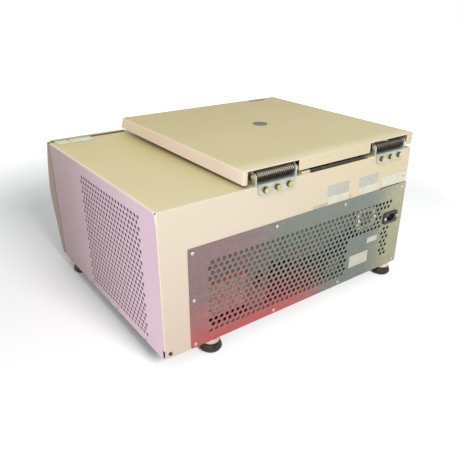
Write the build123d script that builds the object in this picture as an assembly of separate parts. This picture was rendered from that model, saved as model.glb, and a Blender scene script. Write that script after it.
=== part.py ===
from build123d import *
import math
import os

# Refrigerated benchtop centrifuge for microplates. Millimetres, +Z up, the controls face -Y,
# +X is the user's right hand, and the origin is the middle of the footprint on the bench.
# The lid is drawn slightly ajar, as it stands when its latch is released.

# Housing
body_width = 640.0
body_depth = 500.0
body_height = 283.0
foot_height = 28.0
sheet = 1.5
bend_radius = 3.0
fit_gap = 0.3

# Rear face: painted strips around a galvanised grille plate
upper_strip_height = 80.0
right_strip_width = 56.0
strip_overlap = 18.0
left_strip_width = 22.0
grille_thickness = 1.2
grille_corner_radius = 3.0
grille_hole_pitch = 12.5
grille_row_spacing = 10.8
grille_hole_diameter = 8.0
grille_field_inset = 43.0
grille_field_top = 118.0
grille_field_bottom = 24.0
grille_columns = 29
grille_upper_rows = 6
grille_upper_columns = 11
grille_left_columns = 2
corner_slot_reach = 5.0
screw_inset = 8.5
screw_left_inset = 15.0
screw_head_diameter = 7.0
screw_head_height = 2.2
screw_shank_diameter = 3.6
screw_hole_diameter = 4.2

# Right side: hexagonal field of small round holes
side_hole_pitch = 12.4
side_row_spacing = 10.7
side_hole_diameter = 6.5
side_columns = 21
side_field_rear = 61.0
side_field_top = 28.0
side_field_bottom = 16.0
notch_width = 4.0
notch_height = 6.0
notch_from_rear = [70.0, 197.0, 325.0, 453.0]

# Front fascia moulding
fascia_shelf = 15.0
fascia_bulge = 52.0
fascia_bulge_drop = 132.0
fascia_wall = 3.0
fascia_toe = 20.0
fascia_toe_radius = 12.0
fascia_waist_radius = 90.0
seam_groove_width = 2.0
seam_groove_depth = 1.4
pod_wall = 14.0
brow_width = 183.0
brow_from_right = 8.0
brow_height = 3.0
brow_depth = 8.0
brow_slit_from_right = 47.0
brow_slit_width = 1.2

# Control panel on the fascia
panel_width = 130.0
panel_height = 108.0
panel_thickness = 0.8
panel_from_right = 77.0
panel_centre_drop = 69.5
panel_recess = 2.4
panel_margin = 2.0
cable_way_radius = 14.0
cable_way_below_panel = 26.5
display_width = 86.0
display_height = 26.0
display_thickness = 1.5
display_up = 33.0
key_width = 20.0
key_height = 11.0
key_proud = 2.6
key_depth = 3.2
key_travel = 1.0
key_pocket_clearance = 0.8
key_pitch = 29.0
key_up = 4.0
key_names = ["open_key", "short_spin_key", "start_key", "stop_key"]
knob_diameter = 24.0
knob_height = 9.0
knob_seat_gap = 0.3
knob_offset = 32.0
knob_up = -23.0
knob_shaft_radius = 3.0
running_clearance = 0.05
top_strip_width = 85.0
top_strip_depth = 42.0
top_strip_ahead = 11.0

# Mains switch low on the fascia
switch_from_right = 34.0
switch_drop = 215.0
switch_proud = 0.2
switch_frame_width = 22.0
switch_frame_height = 31.0
switch_rocker_width = 14.0
switch_rocker_height = 21.0
switch_body_depth = 17.0
switch_well_clearance = 1.2
switch_pivot_radius = 1.5
switch_pivot_length = 1.6

# Lid
lid_width = 468.0
lid_depth = 489.0
lid_thickness = 26.0
lid_front_lean = 16.0
lid_gap = 7.5
lid_wall = 2.5
lid_corner_radius = 3.5
lid_edge_radius = 3.0
lid_ajar_angle = 0.95
lid_rear_lip_lift = 3.0
liner_thickness = 1.5
liner_inset = 3.5
liner_rear_inset = 46.0
sight_glass_radius = 17.5
sight_glass_thickness = 3.0

# Hinges
hinge_offset = 159.0
hinge_axis_inset = 8.0
hinge_axis_lift = 15.5
hinge_window_left = 55.0
hinge_window_right = 66.5
bracket_width = 86.0
bracket_thickness = 3.0
bracket_drop = 17.5
bracket_corner_radius = 4.0
bracket_ear_spread = 97.0
bracket_shelf_reach = 14.0
ear_thickness = 3.0
ear_radius = 8.0
lid_ear_thickness = 2.0
bolt_pitch = 28.0
bolt_drop = 8.5
bolt_head_width = 10.0
bolt_head_height = 5.0
axle_radius = 3.5
axle_nut_width = 11.0
axle_nut_height = 5.0
axle_head_radius = 5.5
axle_head_height = 3.2
spring_radius = 7.2
spring_wire_radius = 1.4
spring_pitch = 4.5
spring_turns = 19
spring_left_of_centre = 43.8

# Chamber
bowl_radius = 188.0
bowl_wall = 1.2
bowl_depth = 178.0
bowl_corner_radius = 22.0
bowl_rim_radius = 205.0
bowl_weld_height = 26.0
motor_hole_radius = 32.0
cover_opening_radius = 199.0
coil_tube_radius = 3.5
coil_turns = 8
coil_pitch = 15.0
foam_inner_radius = 197.5
foam_outer_radius = 213.0
foam_floor = 22.0
armour_thickness = 4.0
gasket_width = 6.0

# Drive
motor_radius = 62.0
motor_height = 68.0
motor_flange_radius = 98.0
motor_flange_thickness = 7.0
motor_neck_radius = 27.0
shaft_radius = 10.0
mount_radius = 13.0
mount_height = 28.0
mount_circle_radius = 82.0
rotor_height = 82.0
carrier_offset = 85.0
yoke_height = 28.0
yoke_arm_thickness = 11.0
yoke_hub_radius = 34.0
yoke_arm_reach = 104.0
trunnion_radius = 6.0
trunnion_seat_gap = 0.5
nut_radius = 20.0
nut_height = 18.0
plate_length = 128.6
plate_width = 86.4
carrier_wall = 4.0
carrier_drop = 55.0
carrier_rim_height = 24.0
carrier_side_top = 9.0

# Cooling bay
condenser_depth = 250.0
condenser_height = 236.0
condenser_thickness = 30.0
condenser_web = 8.0
fin_thickness = 1.2
fin_pitch = 6.25
condenser_gap = 8.0
bend_tube_radius = 4.5
shroud_gap = 14.0
shroud_thickness = 3.0
fan_radius = 95.0
fan_hub_radius = 24.0
fan_depth = 22.0
fan_blades = 5
fan_motor_radius = 34.0
fan_motor_length = 38.0
compressor_radius = 58.0
compressor_height = 165.0
compressor_foot_width = 112.0
compressor_from_right = 106.0
compressor_from_seam = 112.0
pipe_radius = 4.0
drier_radius = 11.0
drier_length = 80.0
drier_rise = 50.0
feed_rise = 50.0
discharge_port_height = 120.0

# Electronics behind the grille
board_width = 100.0
board_height = 80.0
board_thickness = 1.6
board_from_grille_right = 42.0
board_drop = 165.0
board_from_grille = 13.0
heat_sink_from_board_left = 68.0
heat_sink_width = 28.0
rear_fan_size = 44.0
rear_fan_screw_spread = 51.4
rear_fan_depth = 25.0
rear_fan_from_left = 127.0
rear_fan_drop = 140.5
rear_fan_blades = 7
inlet_width = 48.0
inlet_height = 27.0
inlet_from_left = 44.0
inlet_drop = 157.5
inlet_flange = 3.0
inlet_body_depth = 24.0
inlet_socket_width = 24.0
inlet_socket_height = 16.0
inlet_socket_depth = 16.0
inlet_socket_corner = 5.0
inlet_body_wall_x = 2.0
inlet_body_wall_z = 3.0
inlet_cutout_clearance = 0.5
inlet_pin_length = 13.0
inlet_screw_spacing = 40.0

label_thickness = 0.4

# Latch
latch_pivot_drop = 62.0
latch_reach = 50.0
latch_swing = 24.0
latch_pivot_inset = 8.0
latch_arm_half = 5.0
striker_width = 22.0
striker_wire_radius = 3.0
striker_drop = 38.0
striker_from_lid_front = 13.0

# Feet
foot_rubber_height = 16.5
foot_radius = 22.2
foot_stem_radius = 17.5
foot_rear_right_inset = 108.0
foot_front_right_inset = 23.0
foot_left_inset = 30.0
foot_rear_inset = 14.5
foot_front_inset = 48.0

# Levels and planes that everything else is placed from
half_width = body_width / 2
panel_centre_x = half_width - panel_from_right
brow_right = half_width - brow_from_right
brow_left = brow_right - brow_width
brow_slit_x = half_width - brow_slit_from_right
switch_centre_x = half_width - switch_from_right
compressor_x = half_width - compressor_from_right
rear_fan_x = -half_width + rear_fan_from_left
inlet_x = -half_width + inlet_from_left
base_z = foot_height
top_z = base_z + body_height
rear_proud = bracket_thickness + bolt_head_height
rear_y = (body_depth + fascia_bulge - rear_proud) / 2
seam_y = rear_y - body_depth
grille_top_z = top_z - upper_strip_height
grille_right = half_width - right_strip_width
grille_left = -half_width + 1.0
grille_field_right = grille_right - grille_field_inset
board_left = grille_right - board_from_grille_right - board_width
grille_face_y = rear_y + grille_thickness
lid_left = -half_width
lid_right = lid_left + lid_width
lid_front_y = rear_y - lid_depth
lid_bottom_z = top_z + lid_gap
lid_top_z = lid_bottom_z + lid_thickness
rotor_x = lid_left + lid_width / 2
rotor_y = rear_y - lid_depth / 2
hinge_y = rear_y - hinge_axis_inset
hinge_z = top_z + hinge_axis_lift
bowl_floor_z = top_z - bowl_depth
pivot_z = bowl_floor_z + rotor_height
armour_inner = foam_outer_radius + fit_gap
liner_bottom_z = lid_bottom_z + 0.5
cable_way_z = top_z - panel_centre_drop - panel_height / 2 - cable_way_below_panel
key_pocket_depth = key_depth + key_travel + key_pocket_clearance


def block(x0, x1, y0, y1, z0, z1):
    """A box between two corners."""
    return Pos((x0 + x1) / 2, (y0 + y1) / 2, (z0 + z1) / 2) * Box(x1 - x0, y1 - y0, z1 - z0)


def post(x, y, z0, z1, radius):
    """An upright cylinder."""
    return Pos(x, y, (z0 + z1) / 2) * Cylinder(radius, z1 - z0)


def rod_x(x0, x1, y, z, radius):
    """A cylinder along X."""
    return Pos((x0 + x1) / 2, y, z) * Rot(0, 90, 0) * Cylinder(radius, x1 - x0)


def rod_y(x, y0, y1, z, radius):
    """A cylinder along Y."""
    return Pos(x, (y0 + y1) / 2, z) * Rot(90, 0, 0) * Cylinder(radius, y1 - y0)


def hex_x(x0, x1, y, z, width):
    """A hexagonal head along X, by its width across flats."""
    face = Plane.YZ.offset(x0) * Pos(y, z) * RegularPolygon(width / 2, 6, major_radius=False)
    return extrude(face, x1 - x0)


def hex_y(x, y0, y1, z, width):
    """A hexagonal head along Y, pointing to the rear."""
    plane = Plane(origin=(x, y0, z), x_dir=(-1, 0, 0), z_dir=(0, 1, 0))
    return extrude(plane * RegularPolygon(width / 2, 6, major_radius=False), y1 - y0)


def prism_x(face, x0, x1):
    """A face drawn in (Y, Z), carried from x0 to x1."""
    return extrude(Plane.YZ.offset(x0) * face, x1 - x0)


def ring(x, y, z0, z1, outer, inner):
    """An upright tube."""
    return post(x, y, z0, z1, outer) - post(x, y, z0 - 1, z1 + 1, inner)


def ajar(piece):
    """The lid's own pieces are drawn level, then turned to the released position."""
    return piece.rotate(Axis((0, hinge_y, hinge_z), (-1, 0, 0)), lid_ajar_angle)


def staggered(columns, rows, pitch, row_spacing, first_shift=0):
    """Hole centres of a staggered field, counted down and across from its first hole."""
    spots = []
    for row in range(rows):
        shift = pitch / 2 if (row + first_shift) % 2 else 0
        spots += [(column * pitch + shift, -row * row_spacing) for column in range(columns)]
    return spots


def rows_that_fit(height, row_spacing):
    """Rows of hole centres that a field of this height takes."""
    return int(height / row_spacing) + 1


# Housing sheet metal

def cover_shell():
    """Top, both sides and the rear strips as one folded sheet, before it is split."""
    outer = block(-half_width, half_width, seam_y, rear_y, base_z, top_z)
    inner = block(-half_width + sheet, half_width - sheet, seam_y - 1, rear_y - sheet,
                  base_z - 1, top_z - sheet)
    outer = fillet(folded_edges(outer, half_width, rear_y, top_z), bend_radius)
    inner = fillet(folded_edges(inner, half_width - sheet, rear_y - sheet, top_z - sheet),
                   bend_radius - sheet)
    opening = block(-half_width + left_strip_width, half_width - right_strip_width - strip_overlap,
                    rear_y - 2 * sheet, rear_y + 1, base_z - 1,
                    grille_top_z - strip_overlap)
    return outer - inner - opening


def folded_edges(box, edge_x, edge_y, edge_z):
    """The edges of a box that a sheet is folded over: rear and sides, not front or bottom."""
    picked = []
    for edge in box.edges():
        middle = edge.center()
        on_side = abs(abs(middle.X) - edge_x) < 0.01
        on_rear = abs(middle.Y - edge_y) < 0.01
        on_top = abs(middle.Z - edge_z) < 0.01
        if on_side + on_rear + on_top >= 2:
            picked.append(edge)
    return picked


def latch_slot():
    y = lid_front_y + striker_from_lid_front
    return block(rotor_x - striker_width, rotor_x + striker_width, y - 9, y + 9,
                 top_z - 3 * sheet, top_z + 1)


def housing_cover(shell):
    centre = block(-half_width + bend_radius, half_width - bend_radius, seam_y - 1, rear_y + 1,
                   base_z - 1, top_z + 1)
    opening = post(rotor_x, rotor_y, top_z - 3 * sheet, top_z + 1, cover_opening_radius)
    x, z = corner_screw_spot()
    hole = rod_y(x, rear_y - 2 * sheet, rear_y + 1, z, screw_hole_diameter / 2)
    return (shell & centre) - opening - latch_slot() - hole


def corner_screw_spot():
    """The screw low on the right rear strip, as (x, z)."""
    return half_width - 13, base_z + 9


def side_panel(shell, side):
    """A flat side with its folded top and rear edges, notched along the lower edge."""
    inner_x = side * (half_width - bend_radius)
    outer_x = side * (half_width + 1)
    slab = block(min(inner_x, outer_x), max(inner_x, outer_x), seam_y - 1, rear_y + 1,
                 base_z - 1, top_z + 1)
    panel = shell & slab
    for distance in notch_from_rear:
        y = rear_y - distance
        panel -= block(-half_width - 1, half_width + 1, y - notch_width / 2, y + notch_width / 2,
                       base_z - 1, base_z + notch_height)
    return panel


def right_side_panel(shell):
    first_y = rear_y - side_field_rear
    first_z = top_z - side_field_top
    rows = rows_that_fit(first_z - base_z - side_field_bottom, side_row_spacing)
    spots = staggered(side_columns, rows, side_hole_pitch, side_row_spacing)
    holes = [rod_x(half_width - 2 * bend_radius, half_width + 1, first_y - across, first_z + down,
                   side_hole_diameter / 2) for across, down in spots]
    corner_hole = Pos(half_width - 1, rear_y - 1, top_z - 1) * Sphere(3.2)
    slot = block(half_width - corner_slot_reach, half_width + 1, rear_y - corner_slot_reach,
                 rear_y + 1, base_z + 3, base_z + 18)
    return side_panel(shell, 1) - holes - corner_hole - slot


def base_pan():
    """Galvanised floor with upturned edges, standing inside the cover."""
    inner = half_width - sheet - fit_gap
    rear = rear_y - sheet - fit_gap
    front = seam_y + sheet
    flange = 26.0
    pan = block(-inner, inner, front, rear, base_z, base_z + flange)
    pan = fillet(pan.edges().filter_by(Axis.Z).group_by(Axis.Y)[-1], bend_radius)
    pan -= block(-inner + sheet, inner - sheet, front + sheet, rear - sheet,
                 base_z + 2, base_z + flange + 1)
    for x in (-inner, inner):
        pan -= block(x - 2 * corner_slot_reach, x + 2 * corner_slot_reach,
                     rear - 2 * corner_slot_reach, rear + 1, base_z + 2, base_z + flange + 1)
    return pan


def front_bulkhead():
    """Upright sheet that closes the chassis behind the fascia, slotted for the latch hook."""
    inner = half_width - sheet - fit_gap
    wall = block(-inner, inner, seam_y, seam_y + sheet, base_z, top_z - sheet)
    wall = chamfer(wall.edges().filter_by(Axis.Y).group_by(Axis.Z)[-1], bend_radius - sheet)
    slot = block(rotor_x - 9, rotor_x + 9, seam_y - 1, seam_y + sheet + 1,
                 top_z - latch_pivot_drop - 16, top_z - sheet)
    cable_way = rod_y(panel_centre_x, seam_y - 1, seam_y + sheet + 1, cable_way_z, cable_way_radius)
    return wall - slot - cable_way


def grille_screw_spots():
    """The ten screw positions of the grille plate, as (x, z)."""
    right = grille_right - screw_inset
    left = grille_left + screw_left_inset
    third = (right - left) / 3
    top = grille_top_z - screw_inset
    bottom = base_z + screw_inset
    middle = (top + bottom) / 2
    row = [right, right - third, right - 2 * third, left]
    return [(x, z) for x in row for z in (top, bottom)] + [(right, middle), (left, middle)]


def inlet_z():
    return top_z - inlet_drop


def inlet_body_size():
    """Width and height of the inlet's body, which passes through the grille plate."""
    return inlet_socket_width + 2 * inlet_body_wall_x, inlet_socket_height + 2 * inlet_body_wall_z


def grille_holes():
    """Hole centres of the grille plate, as (x, z)."""
    x = grille_field_right
    z = top_z - grille_field_top
    pitch = grille_hole_pitch
    rows = rows_that_fit(z - base_z - grille_field_bottom, grille_row_spacing)
    main = staggered(grille_columns, rows, pitch, grille_row_spacing, 1)
    spots = [(x - across, z + down) for across, down in main]
    band_x = x - grille_columns * pitch
    band = staggered(grille_upper_columns, grille_upper_rows, pitch, grille_row_spacing, 1)
    spots += [(band_x - across, z + down) for across, down in band]
    left_x = x - (grille_columns + grille_upper_columns - grille_left_columns) * pitch
    left_z = z - grille_upper_rows * grille_row_spacing
    left_rows = rows - grille_upper_rows - 1
    column = staggered(grille_left_columns, left_rows, pitch, grille_row_spacing, 1)
    spots += [(left_x - across, left_z + down) for across, down in column]
    keep_x = inlet_width / 2 + grille_hole_diameter
    keep_z = inlet_height / 2 + grille_hole_diameter
    return [(a, b) for a, b in spots
            if abs(a - inlet_x) > keep_x or abs(b - inlet_z()) > keep_z]


def rear_grille():
    width = grille_right - grille_left
    height = grille_top_z - base_z
    middle_x = (grille_right + grille_left) / 2
    middle_z = (grille_top_z + base_z) / 2
    plate = RectangleRounded(width, height, grille_corner_radius)
    holes = [Pos(middle_x - x, z - middle_z) * Circle(grille_hole_diameter / 2)
             for x, z in grille_holes()]
    screws = [Pos(middle_x - x, z - middle_z) * Circle(screw_hole_diameter / 2)
              for x, z in grille_screw_spots() + rear_fan_screw_spots()]
    cutout_width, cutout_height = (size + 2 * inlet_cutout_clearance for size in inlet_body_size())
    inlet = Pos(middle_x - inlet_x, inlet_z() - middle_z) * Rectangle(cutout_width, cutout_height)
    plane = Plane(origin=(middle_x, rear_y, middle_z), x_dir=(-1, 0, 0), z_dir=(0, 1, 0))
    return extrude(plane * (plate - holes - screws - inlet), grille_thickness)


def pan_head(x, y, z):
    """A pan-head screw pointing to the front, its head on the plane y."""
    head = rod_y(x, y, y + screw_head_height, z, screw_head_diameter / 2)
    head = fillet(head.edges().group_by(Axis.Y)[-1], screw_head_height * 0.45)
    cross = Rectangle(4.0, 0.9) + Rectangle(0.9, 4.0)
    plane = Plane(origin=(x, y + screw_head_height + 0.1, z), x_dir=(-1, 0, 0), z_dir=(0, 1, 0))
    cross_cut = extrude(plane * cross, -1.1)
    shank = rod_y(x, y - grille_thickness, y, z, screw_shank_diameter / 2)
    return head - cross_cut + shank


def rear_fan_screw_spots():
    """One screw through an ear at either side of the fan, as (x, z)."""
    return [(rear_fan_x + side * rear_fan_screw_spread / 2, top_z - rear_fan_drop)
            for side in (-1, 1)]


def rear_panel_screws():
    spots = grille_screw_spots() + rear_fan_screw_spots()
    screws = [pan_head(x, grille_face_y, z) for x, z in spots]
    inlet_y = grille_face_y + inlet_flange
    for side in (-1, 1):
        screws.append(pan_head(inlet_x + side * inlet_screw_spacing / 2, inlet_y, inlet_z()))
    return Compound(screws)


def base_screws():
    """Screws in the notches of both sides and low on the rear strip."""
    z = base_z + notch_height / 2
    screws = []
    for distance in notch_from_rear:
        y = rear_y - distance
        for side in (-1, 1):
            inner = half_width - sheet - fit_gap
            x0, x1 = sorted((side * inner, side * (half_width - 0.2)))
            screws.append(rod_x(x0, x1, y, z, notch_width / 2 - fit_gap))
    x, z = corner_screw_spot()
    screws.append(pan_head(x, rear_y, z))
    return Compound(screws)


# Fascia and controls

def fascia_outline(inset):
    """Side outline of the fascia in (Y, Z), drawn inset mm inside its skin."""
    lower_z = base_z
    start = (seam_y, top_z)
    shelf = (seam_y - fascia_shelf, top_z)
    crown = (seam_y - fascia_bulge, top_z - fascia_bulge_drop)
    toe = (seam_y - fascia_toe, lower_z)
    heel = (seam_y, lower_z)
    chord_y = (shelf[0] + crown[0]) / 2
    chord_z = (shelf[1] + crown[1]) / 2
    through = (chord_y - 4.6, chord_z + 1.3)
    edges = [Line(start, shelf), ThreePointArc(shelf, through, crown), Line(crown, toe),
             Line(toe, heel), Line(heel, start)]
    face = make_face(edges)
    corners = face.vertices()
    face = fillet([corners.sort_by_distance((*crown, 0))[0]], fascia_waist_radius)
    face = fillet([face.vertices().sort_by_distance((*toe, 0))[0]], fascia_toe_radius)
    if inset:
        face = offset(face, -inset, kind=Kind.INTERSECTION)
    return face


def fascia_cavity(inset, x0, x1):
    """The hollow behind the fascia's skin, open to the rear."""
    hollow = prism_x(fascia_outline(inset), x0, x1)
    return hollow + Pos(0, inset + 6, 0) * hollow


def panel_plane():
    """The facet let into the curved upper front, parallel to the chord of the curve."""
    lean = math.atan2(fascia_bulge - fascia_shelf, fascia_bulge_drop)
    reach = fascia_shelf + math.tan(lean) * panel_centre_drop - panel_recess / math.cos(lean)
    origin = (panel_centre_x, seam_y - reach, top_z - panel_centre_drop)
    return Plane(origin=origin, x_dir=(1, 0, 0), z_dir=(0, -math.cos(lean), math.sin(lean)))


def switch_plane():
    """The straight lower front, which falls back from the bulge to the toe."""
    lean = math.atan2(fascia_toe - fascia_bulge, body_height - fascia_bulge_drop)
    fallen = math.tan(lean) * (switch_drop - fascia_bulge_drop)
    reach = fascia_bulge + fallen + switch_proud
    origin = (switch_centre_x, seam_y - reach, top_z - switch_drop)
    return Plane(origin=origin, x_dir=(1, 0, 0), z_dir=(0, -math.cos(lean), math.sin(lean)))


def on_plane(plane, piece):
    return plane.location * piece


def key_spots():
    first = -key_pitch * (len(key_names) - 1) / 2
    return [first + key_pitch * index for index in range(len(key_names))]


def front_fascia():
    skin = prism_x(fascia_outline(0), -half_width, half_width)
    ends = [e for e in skin.edges().filter_by(GeomType.CIRCLE) if abs(e.center().X) > half_width - 1]
    skin = fillet(ends, 2.0)
    pod_x = panel_centre_x - panel_width / 2 - 8
    wall_x = half_width - fascia_wall
    hollow = fascia_cavity(fascia_wall, -wall_x, pod_x)
    hollow += fascia_cavity(pod_wall, pod_x, wall_x)
    brow = block(brow_left, brow_right, seam_y - fascia_shelf, seam_y - fascia_shelf + brow_depth,
                 top_z - 2, top_z + brow_height)
    brow = fillet(brow.edges().group_by(Axis.Z)[-1], 1.0)
    brow -= block(brow_slit_x - brow_slit_width / 2, brow_slit_x + brow_slit_width / 2,
                  seam_y - fascia_bulge, seam_y, top_z, top_z + 2 * brow_height)
    groove = block(-half_width - 1, half_width + 1, seam_y - seam_groove_width, seam_y + 1,
                   base_z - 1, top_z + brow_height)
    groove -= block(-half_width + seam_groove_depth, half_width - seam_groove_depth,
                    seam_y - 2 * seam_groove_width, seam_y + 2, base_z - 2,
                    top_z - seam_groove_depth / 2)
    body = skin - hollow + brow - groove
    plane = panel_plane()
    facet = Pos(0, 0, 15) * Box(panel_width + panel_margin, panel_height + panel_margin, 30)
    body -= on_plane(plane, facet)
    for x in key_spots():
        pocket = Pos(x, key_up, -key_pocket_depth / 2) * Box(
            key_width + 2 * fit_gap, key_height + 2 * fit_gap, key_pocket_depth)
        body -= on_plane(plane, pocket)
    for side in (-1, 1):
        bore = Pos(side * knob_offset, knob_up, -4) * Cylinder(
            knob_shaft_radius + running_clearance, 8.01)
        body -= on_plane(plane, bore)
    switch_way = Pos(0, 0, -10) * Box(switch_frame_width - 2, switch_frame_height - 3, 30)
    return body - on_plane(switch_plane(), switch_way)


def control_panel():
    """Overlay plate on the fascia and its narrow pane on the top shelf."""
    plate = Pos(0, 0, panel_thickness / 2) * Box(panel_width, panel_height, panel_thickness)
    plate = fillet(plate.edges().filter_by(Axis.Z), 5.0)
    plate -= Pos(0, display_up, 0) * Box(display_width + 2 * fit_gap,
                                         display_height + 2 * fit_gap, 6)
    for x in key_spots():
        plate -= Pos(x, key_up, 0) * Box(key_width + 2 * fit_gap, key_height + 2 * fit_gap, 6)
    for side in (-1, 1):
        plate -= Pos(side * knob_offset, knob_up, 0) * Cylinder(knob_shaft_radius + 1, 6)
    pane_y = seam_y - top_strip_ahead
    pane_x = panel_centre_x + panel_width / 2 - 1
    pane = block(pane_x - top_strip_width, pane_x, pane_y + 0.2 + brow_depth / 2,
                 pane_y + top_strip_depth, top_z, top_z + 1.2)
    return Compound([on_plane(panel_plane(), plate), pane])


def display_window():
    pane = Pos(0, display_up, display_thickness / 2) * Box(display_width, display_height,
                                                           display_thickness)
    pane = fillet(pane.edges().filter_by(Axis.Z), 2.0)
    return on_plane(panel_plane(), pane)


def key(x):
    cap = Pos(x, key_up, (key_proud - key_depth) / 2) * Box(key_width, key_height,
                                                            key_proud + key_depth)
    cap = fillet(cap.edges().filter_by(Axis.Z), 2.0)
    cap = fillet(cap.faces().sort_by(Axis.Z)[-1].edges(), 0.8)
    return on_plane(panel_plane(), cap)


def knob(side):
    """A turned knob with a pointer groove, on its own shaft in the fascia."""
    low = panel_thickness + knob_seat_gap
    grip = Pos(0, 0, low + knob_height / 2) * Cylinder(knob_diameter / 2, knob_height)
    grip = fillet(grip.edges().group_by(Axis.Z)[-1], 1.5)
    groove = Pos(0, knob_diameter / 3, low + knob_height) * Box(1.6, knob_diameter / 2, 1.6)
    shaft = Pos(0, 0, low / 2 - 3) * Cylinder(knob_shaft_radius, low + 6)
    return on_plane(panel_plane(), Pos(side * knob_offset, knob_up, 0) * (grip - groove + shaft))


def switch_frame():
    rim = Pos(0, 0, 1.25) * Box(switch_frame_width, switch_frame_height, 2.5)
    rim = fillet(rim.edges().filter_by(Axis.Z), 2.0)
    body = Pos(0, 0, -switch_body_depth / 2) * Box(
        switch_frame_width - 2 - 2 * fit_gap, switch_frame_height - 3 - 2 * fit_gap,
        switch_body_depth)
    well = Box(switch_rocker_width + 2 * fit_gap,
               switch_rocker_height + 2 * switch_well_clearance, 22)
    frame = rim + body - well - switch_pivots(2 * fit_gap, running_clearance)
    return on_plane(switch_plane(), frame)


def switch_pivots(extra_length, extra_radius):
    """The rocker's two stub axles, or with something extra, their bores in the frame."""
    length = switch_rocker_width + 2 * (fit_gap + switch_pivot_length) + extra_length
    return Rot(0, 90, 0) * Cylinder(switch_pivot_radius + extra_radius, length)


def mains_rocker():
    """A rocker with two slanted faces about a cross axle, tilted to its off side."""
    half = switch_rocker_height / 2
    outline = make_face(Polyline((-half, 4.6), (0, 2.2), (half, 1.6), (half * 0.62, -5.5),
                                 (-half * 0.62, -5.5), (-half, 4.6)))
    face = Plane.YZ.offset(-switch_rocker_width / 2) * outline
    rocker = extrude(face, switch_rocker_width) + switch_pivots(0, 0)
    return on_plane(switch_plane(), rocker)


# Lid

def lid_solid(inset, rear, low, high, radius):
    """The lid's form between two levels, drawn inset mm inside its skin; the front leans back."""
    lean = lid_front_lean / lid_thickness
    low_front = lid_front_y + inset + lean * (low - lid_bottom_z)
    high_front = lid_front_y + inset + lean * (high - lid_bottom_z)
    side = make_face(Polyline((low_front, low), (high_front, high), (rear, high), (rear, low),
                              (low_front, low)))
    solid = prism_x(side, lid_left + inset, lid_right - inset)
    corners = [edge for edge in solid.edges() if abs((edge % 0.5).Z) > 0.5]
    return fillet(corners, radius)


def hinge_windows(low, high):
    """Openings in the lid's rear skirt, where the hinges stand."""
    return [block(centre - hinge_window_left, centre + hinge_window_right, rear_y - 2 * lid_wall,
                  rear_y + 1, low, high) for centre in hinge_centres().values()]


def lid_shell():
    """Folded lid with a closed skirt, windows at the hinges and a hole for the sight glass."""
    skin = lid_solid(0, rear_y, lid_bottom_z, lid_top_z, lid_corner_radius)
    skin = fillet(skin.faces().sort_by(Axis.Z)[-1].edges(), lid_edge_radius)
    hollow = lid_solid(lid_wall, rear_y - lid_wall, lid_bottom_z - 1, lid_top_z - lid_wall,
                       lid_corner_radius - lid_wall)
    shell = skin - hollow - hinge_windows(lid_bottom_z - 1, lid_top_z - lid_wall)
    between = sorted(hinge_centres().values())
    shell -= block(between[0] + hinge_window_right - 1, between[1] - hinge_window_left + 1,
                   rear_y - 2 * lid_wall, rear_y + 1, lid_bottom_z - 1,
                   lid_bottom_z + lid_rear_lip_lift)
    eye = post(rotor_x, rotor_y, lid_top_z - 2 * lid_wall, lid_top_z + 1,
               sight_glass_radius + 0.1)
    return shell - eye


def lid_liner():
    """Inner pan of the lid: a flat sheet with an upturned rim, and the eye's tube."""
    rear = rear_y - liner_rear_inset
    high = lid_top_z - lid_wall - 0.5
    pan = lid_solid(liner_inset, rear, liner_bottom_z, high, 1.0)
    pan -= lid_solid(liner_inset + liner_thickness, rear - liner_thickness,
                     liner_bottom_z + liner_thickness, high + 1, 0.5)
    tube = ring(rotor_x, rotor_y, liner_bottom_z + liner_thickness / 2,
                lid_top_z - lid_wall, sight_glass_radius + 2.5, sight_glass_radius)
    way = post(rotor_x, rotor_y, liner_bottom_z - 1, lid_bottom_z + 4, sight_glass_radius)
    return pan + tube - way


def sight_glass():
    """Clear disc let into the lid's skin, with a small step under it."""
    lens = post(rotor_x, rotor_y, lid_top_z - lid_wall, lid_top_z + 0.4, sight_glass_radius)
    lens = fillet(lens.edges().group_by(Axis.Z)[-1], 0.3)
    step = post(rotor_x, rotor_y, lid_top_z - lid_wall - sight_glass_thickness,
                lid_top_z - lid_wall, sight_glass_radius - fit_gap)
    return lens + step


def hinge_centres():
    return {"right": rotor_x + hinge_offset, "left": rotor_x - hinge_offset}


def hinge_bracket(centre):
    """Angle bolted on the rear strip, whose shelf on the cover carries two ears for the axle."""
    x0 = centre - bracket_width / 2
    x1 = centre + bracket_width / 2
    ear_x0 = centre - bracket_ear_spread / 2
    ear_x1 = centre + bracket_ear_spread / 2
    outer_y = rear_y + bracket_thickness
    shelf_z = top_z + bracket_thickness
    plate = block(x0, x1, rear_y, outer_y, top_z - bracket_drop, shelf_z)
    plate = fillet(plate.edges().filter_by(Axis.Y).group_by(Axis.Z)[0], bracket_corner_radius)
    plate += block(x0, x1, hinge_y, rear_y + 0.5, top_z, shelf_z)
    fold = plate.edges().filter_by(Axis.X).sort_by_distance((centre, outer_y, shelf_z))[0]
    plate = fillet(fold, bracket_thickness - 0.2)
    plate += block(ear_x0, ear_x1, hinge_y - bracket_shelf_reach, rear_y, top_z, shelf_z)
    ear = make_face(Polyline((hinge_y - bracket_shelf_reach, shelf_z - 0.5),
                             (hinge_y - ear_radius, hinge_z), (hinge_y + ear_radius, hinge_z),
                             (hinge_y + ear_radius, shelf_z - 0.5),
                             (hinge_y - bracket_shelf_reach, shelf_z - 0.5)))
    for x in (ear_x0, ear_x1 - ear_thickness):
        plate += prism_x(ear, x, x + ear_thickness)
        plate += rod_x(x, x + ear_thickness, hinge_y, hinge_z, ear_radius)
    plate -= rod_x(ear_x0 - 1, ear_x1 + 1, hinge_y, hinge_z, axle_radius + running_clearance)
    for index in (-1, 0, 1):
        plate -= rod_y(centre + index * bolt_pitch, rear_y - 1, outer_y + 1, top_z - bolt_drop, 3.2)
    return plate


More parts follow.
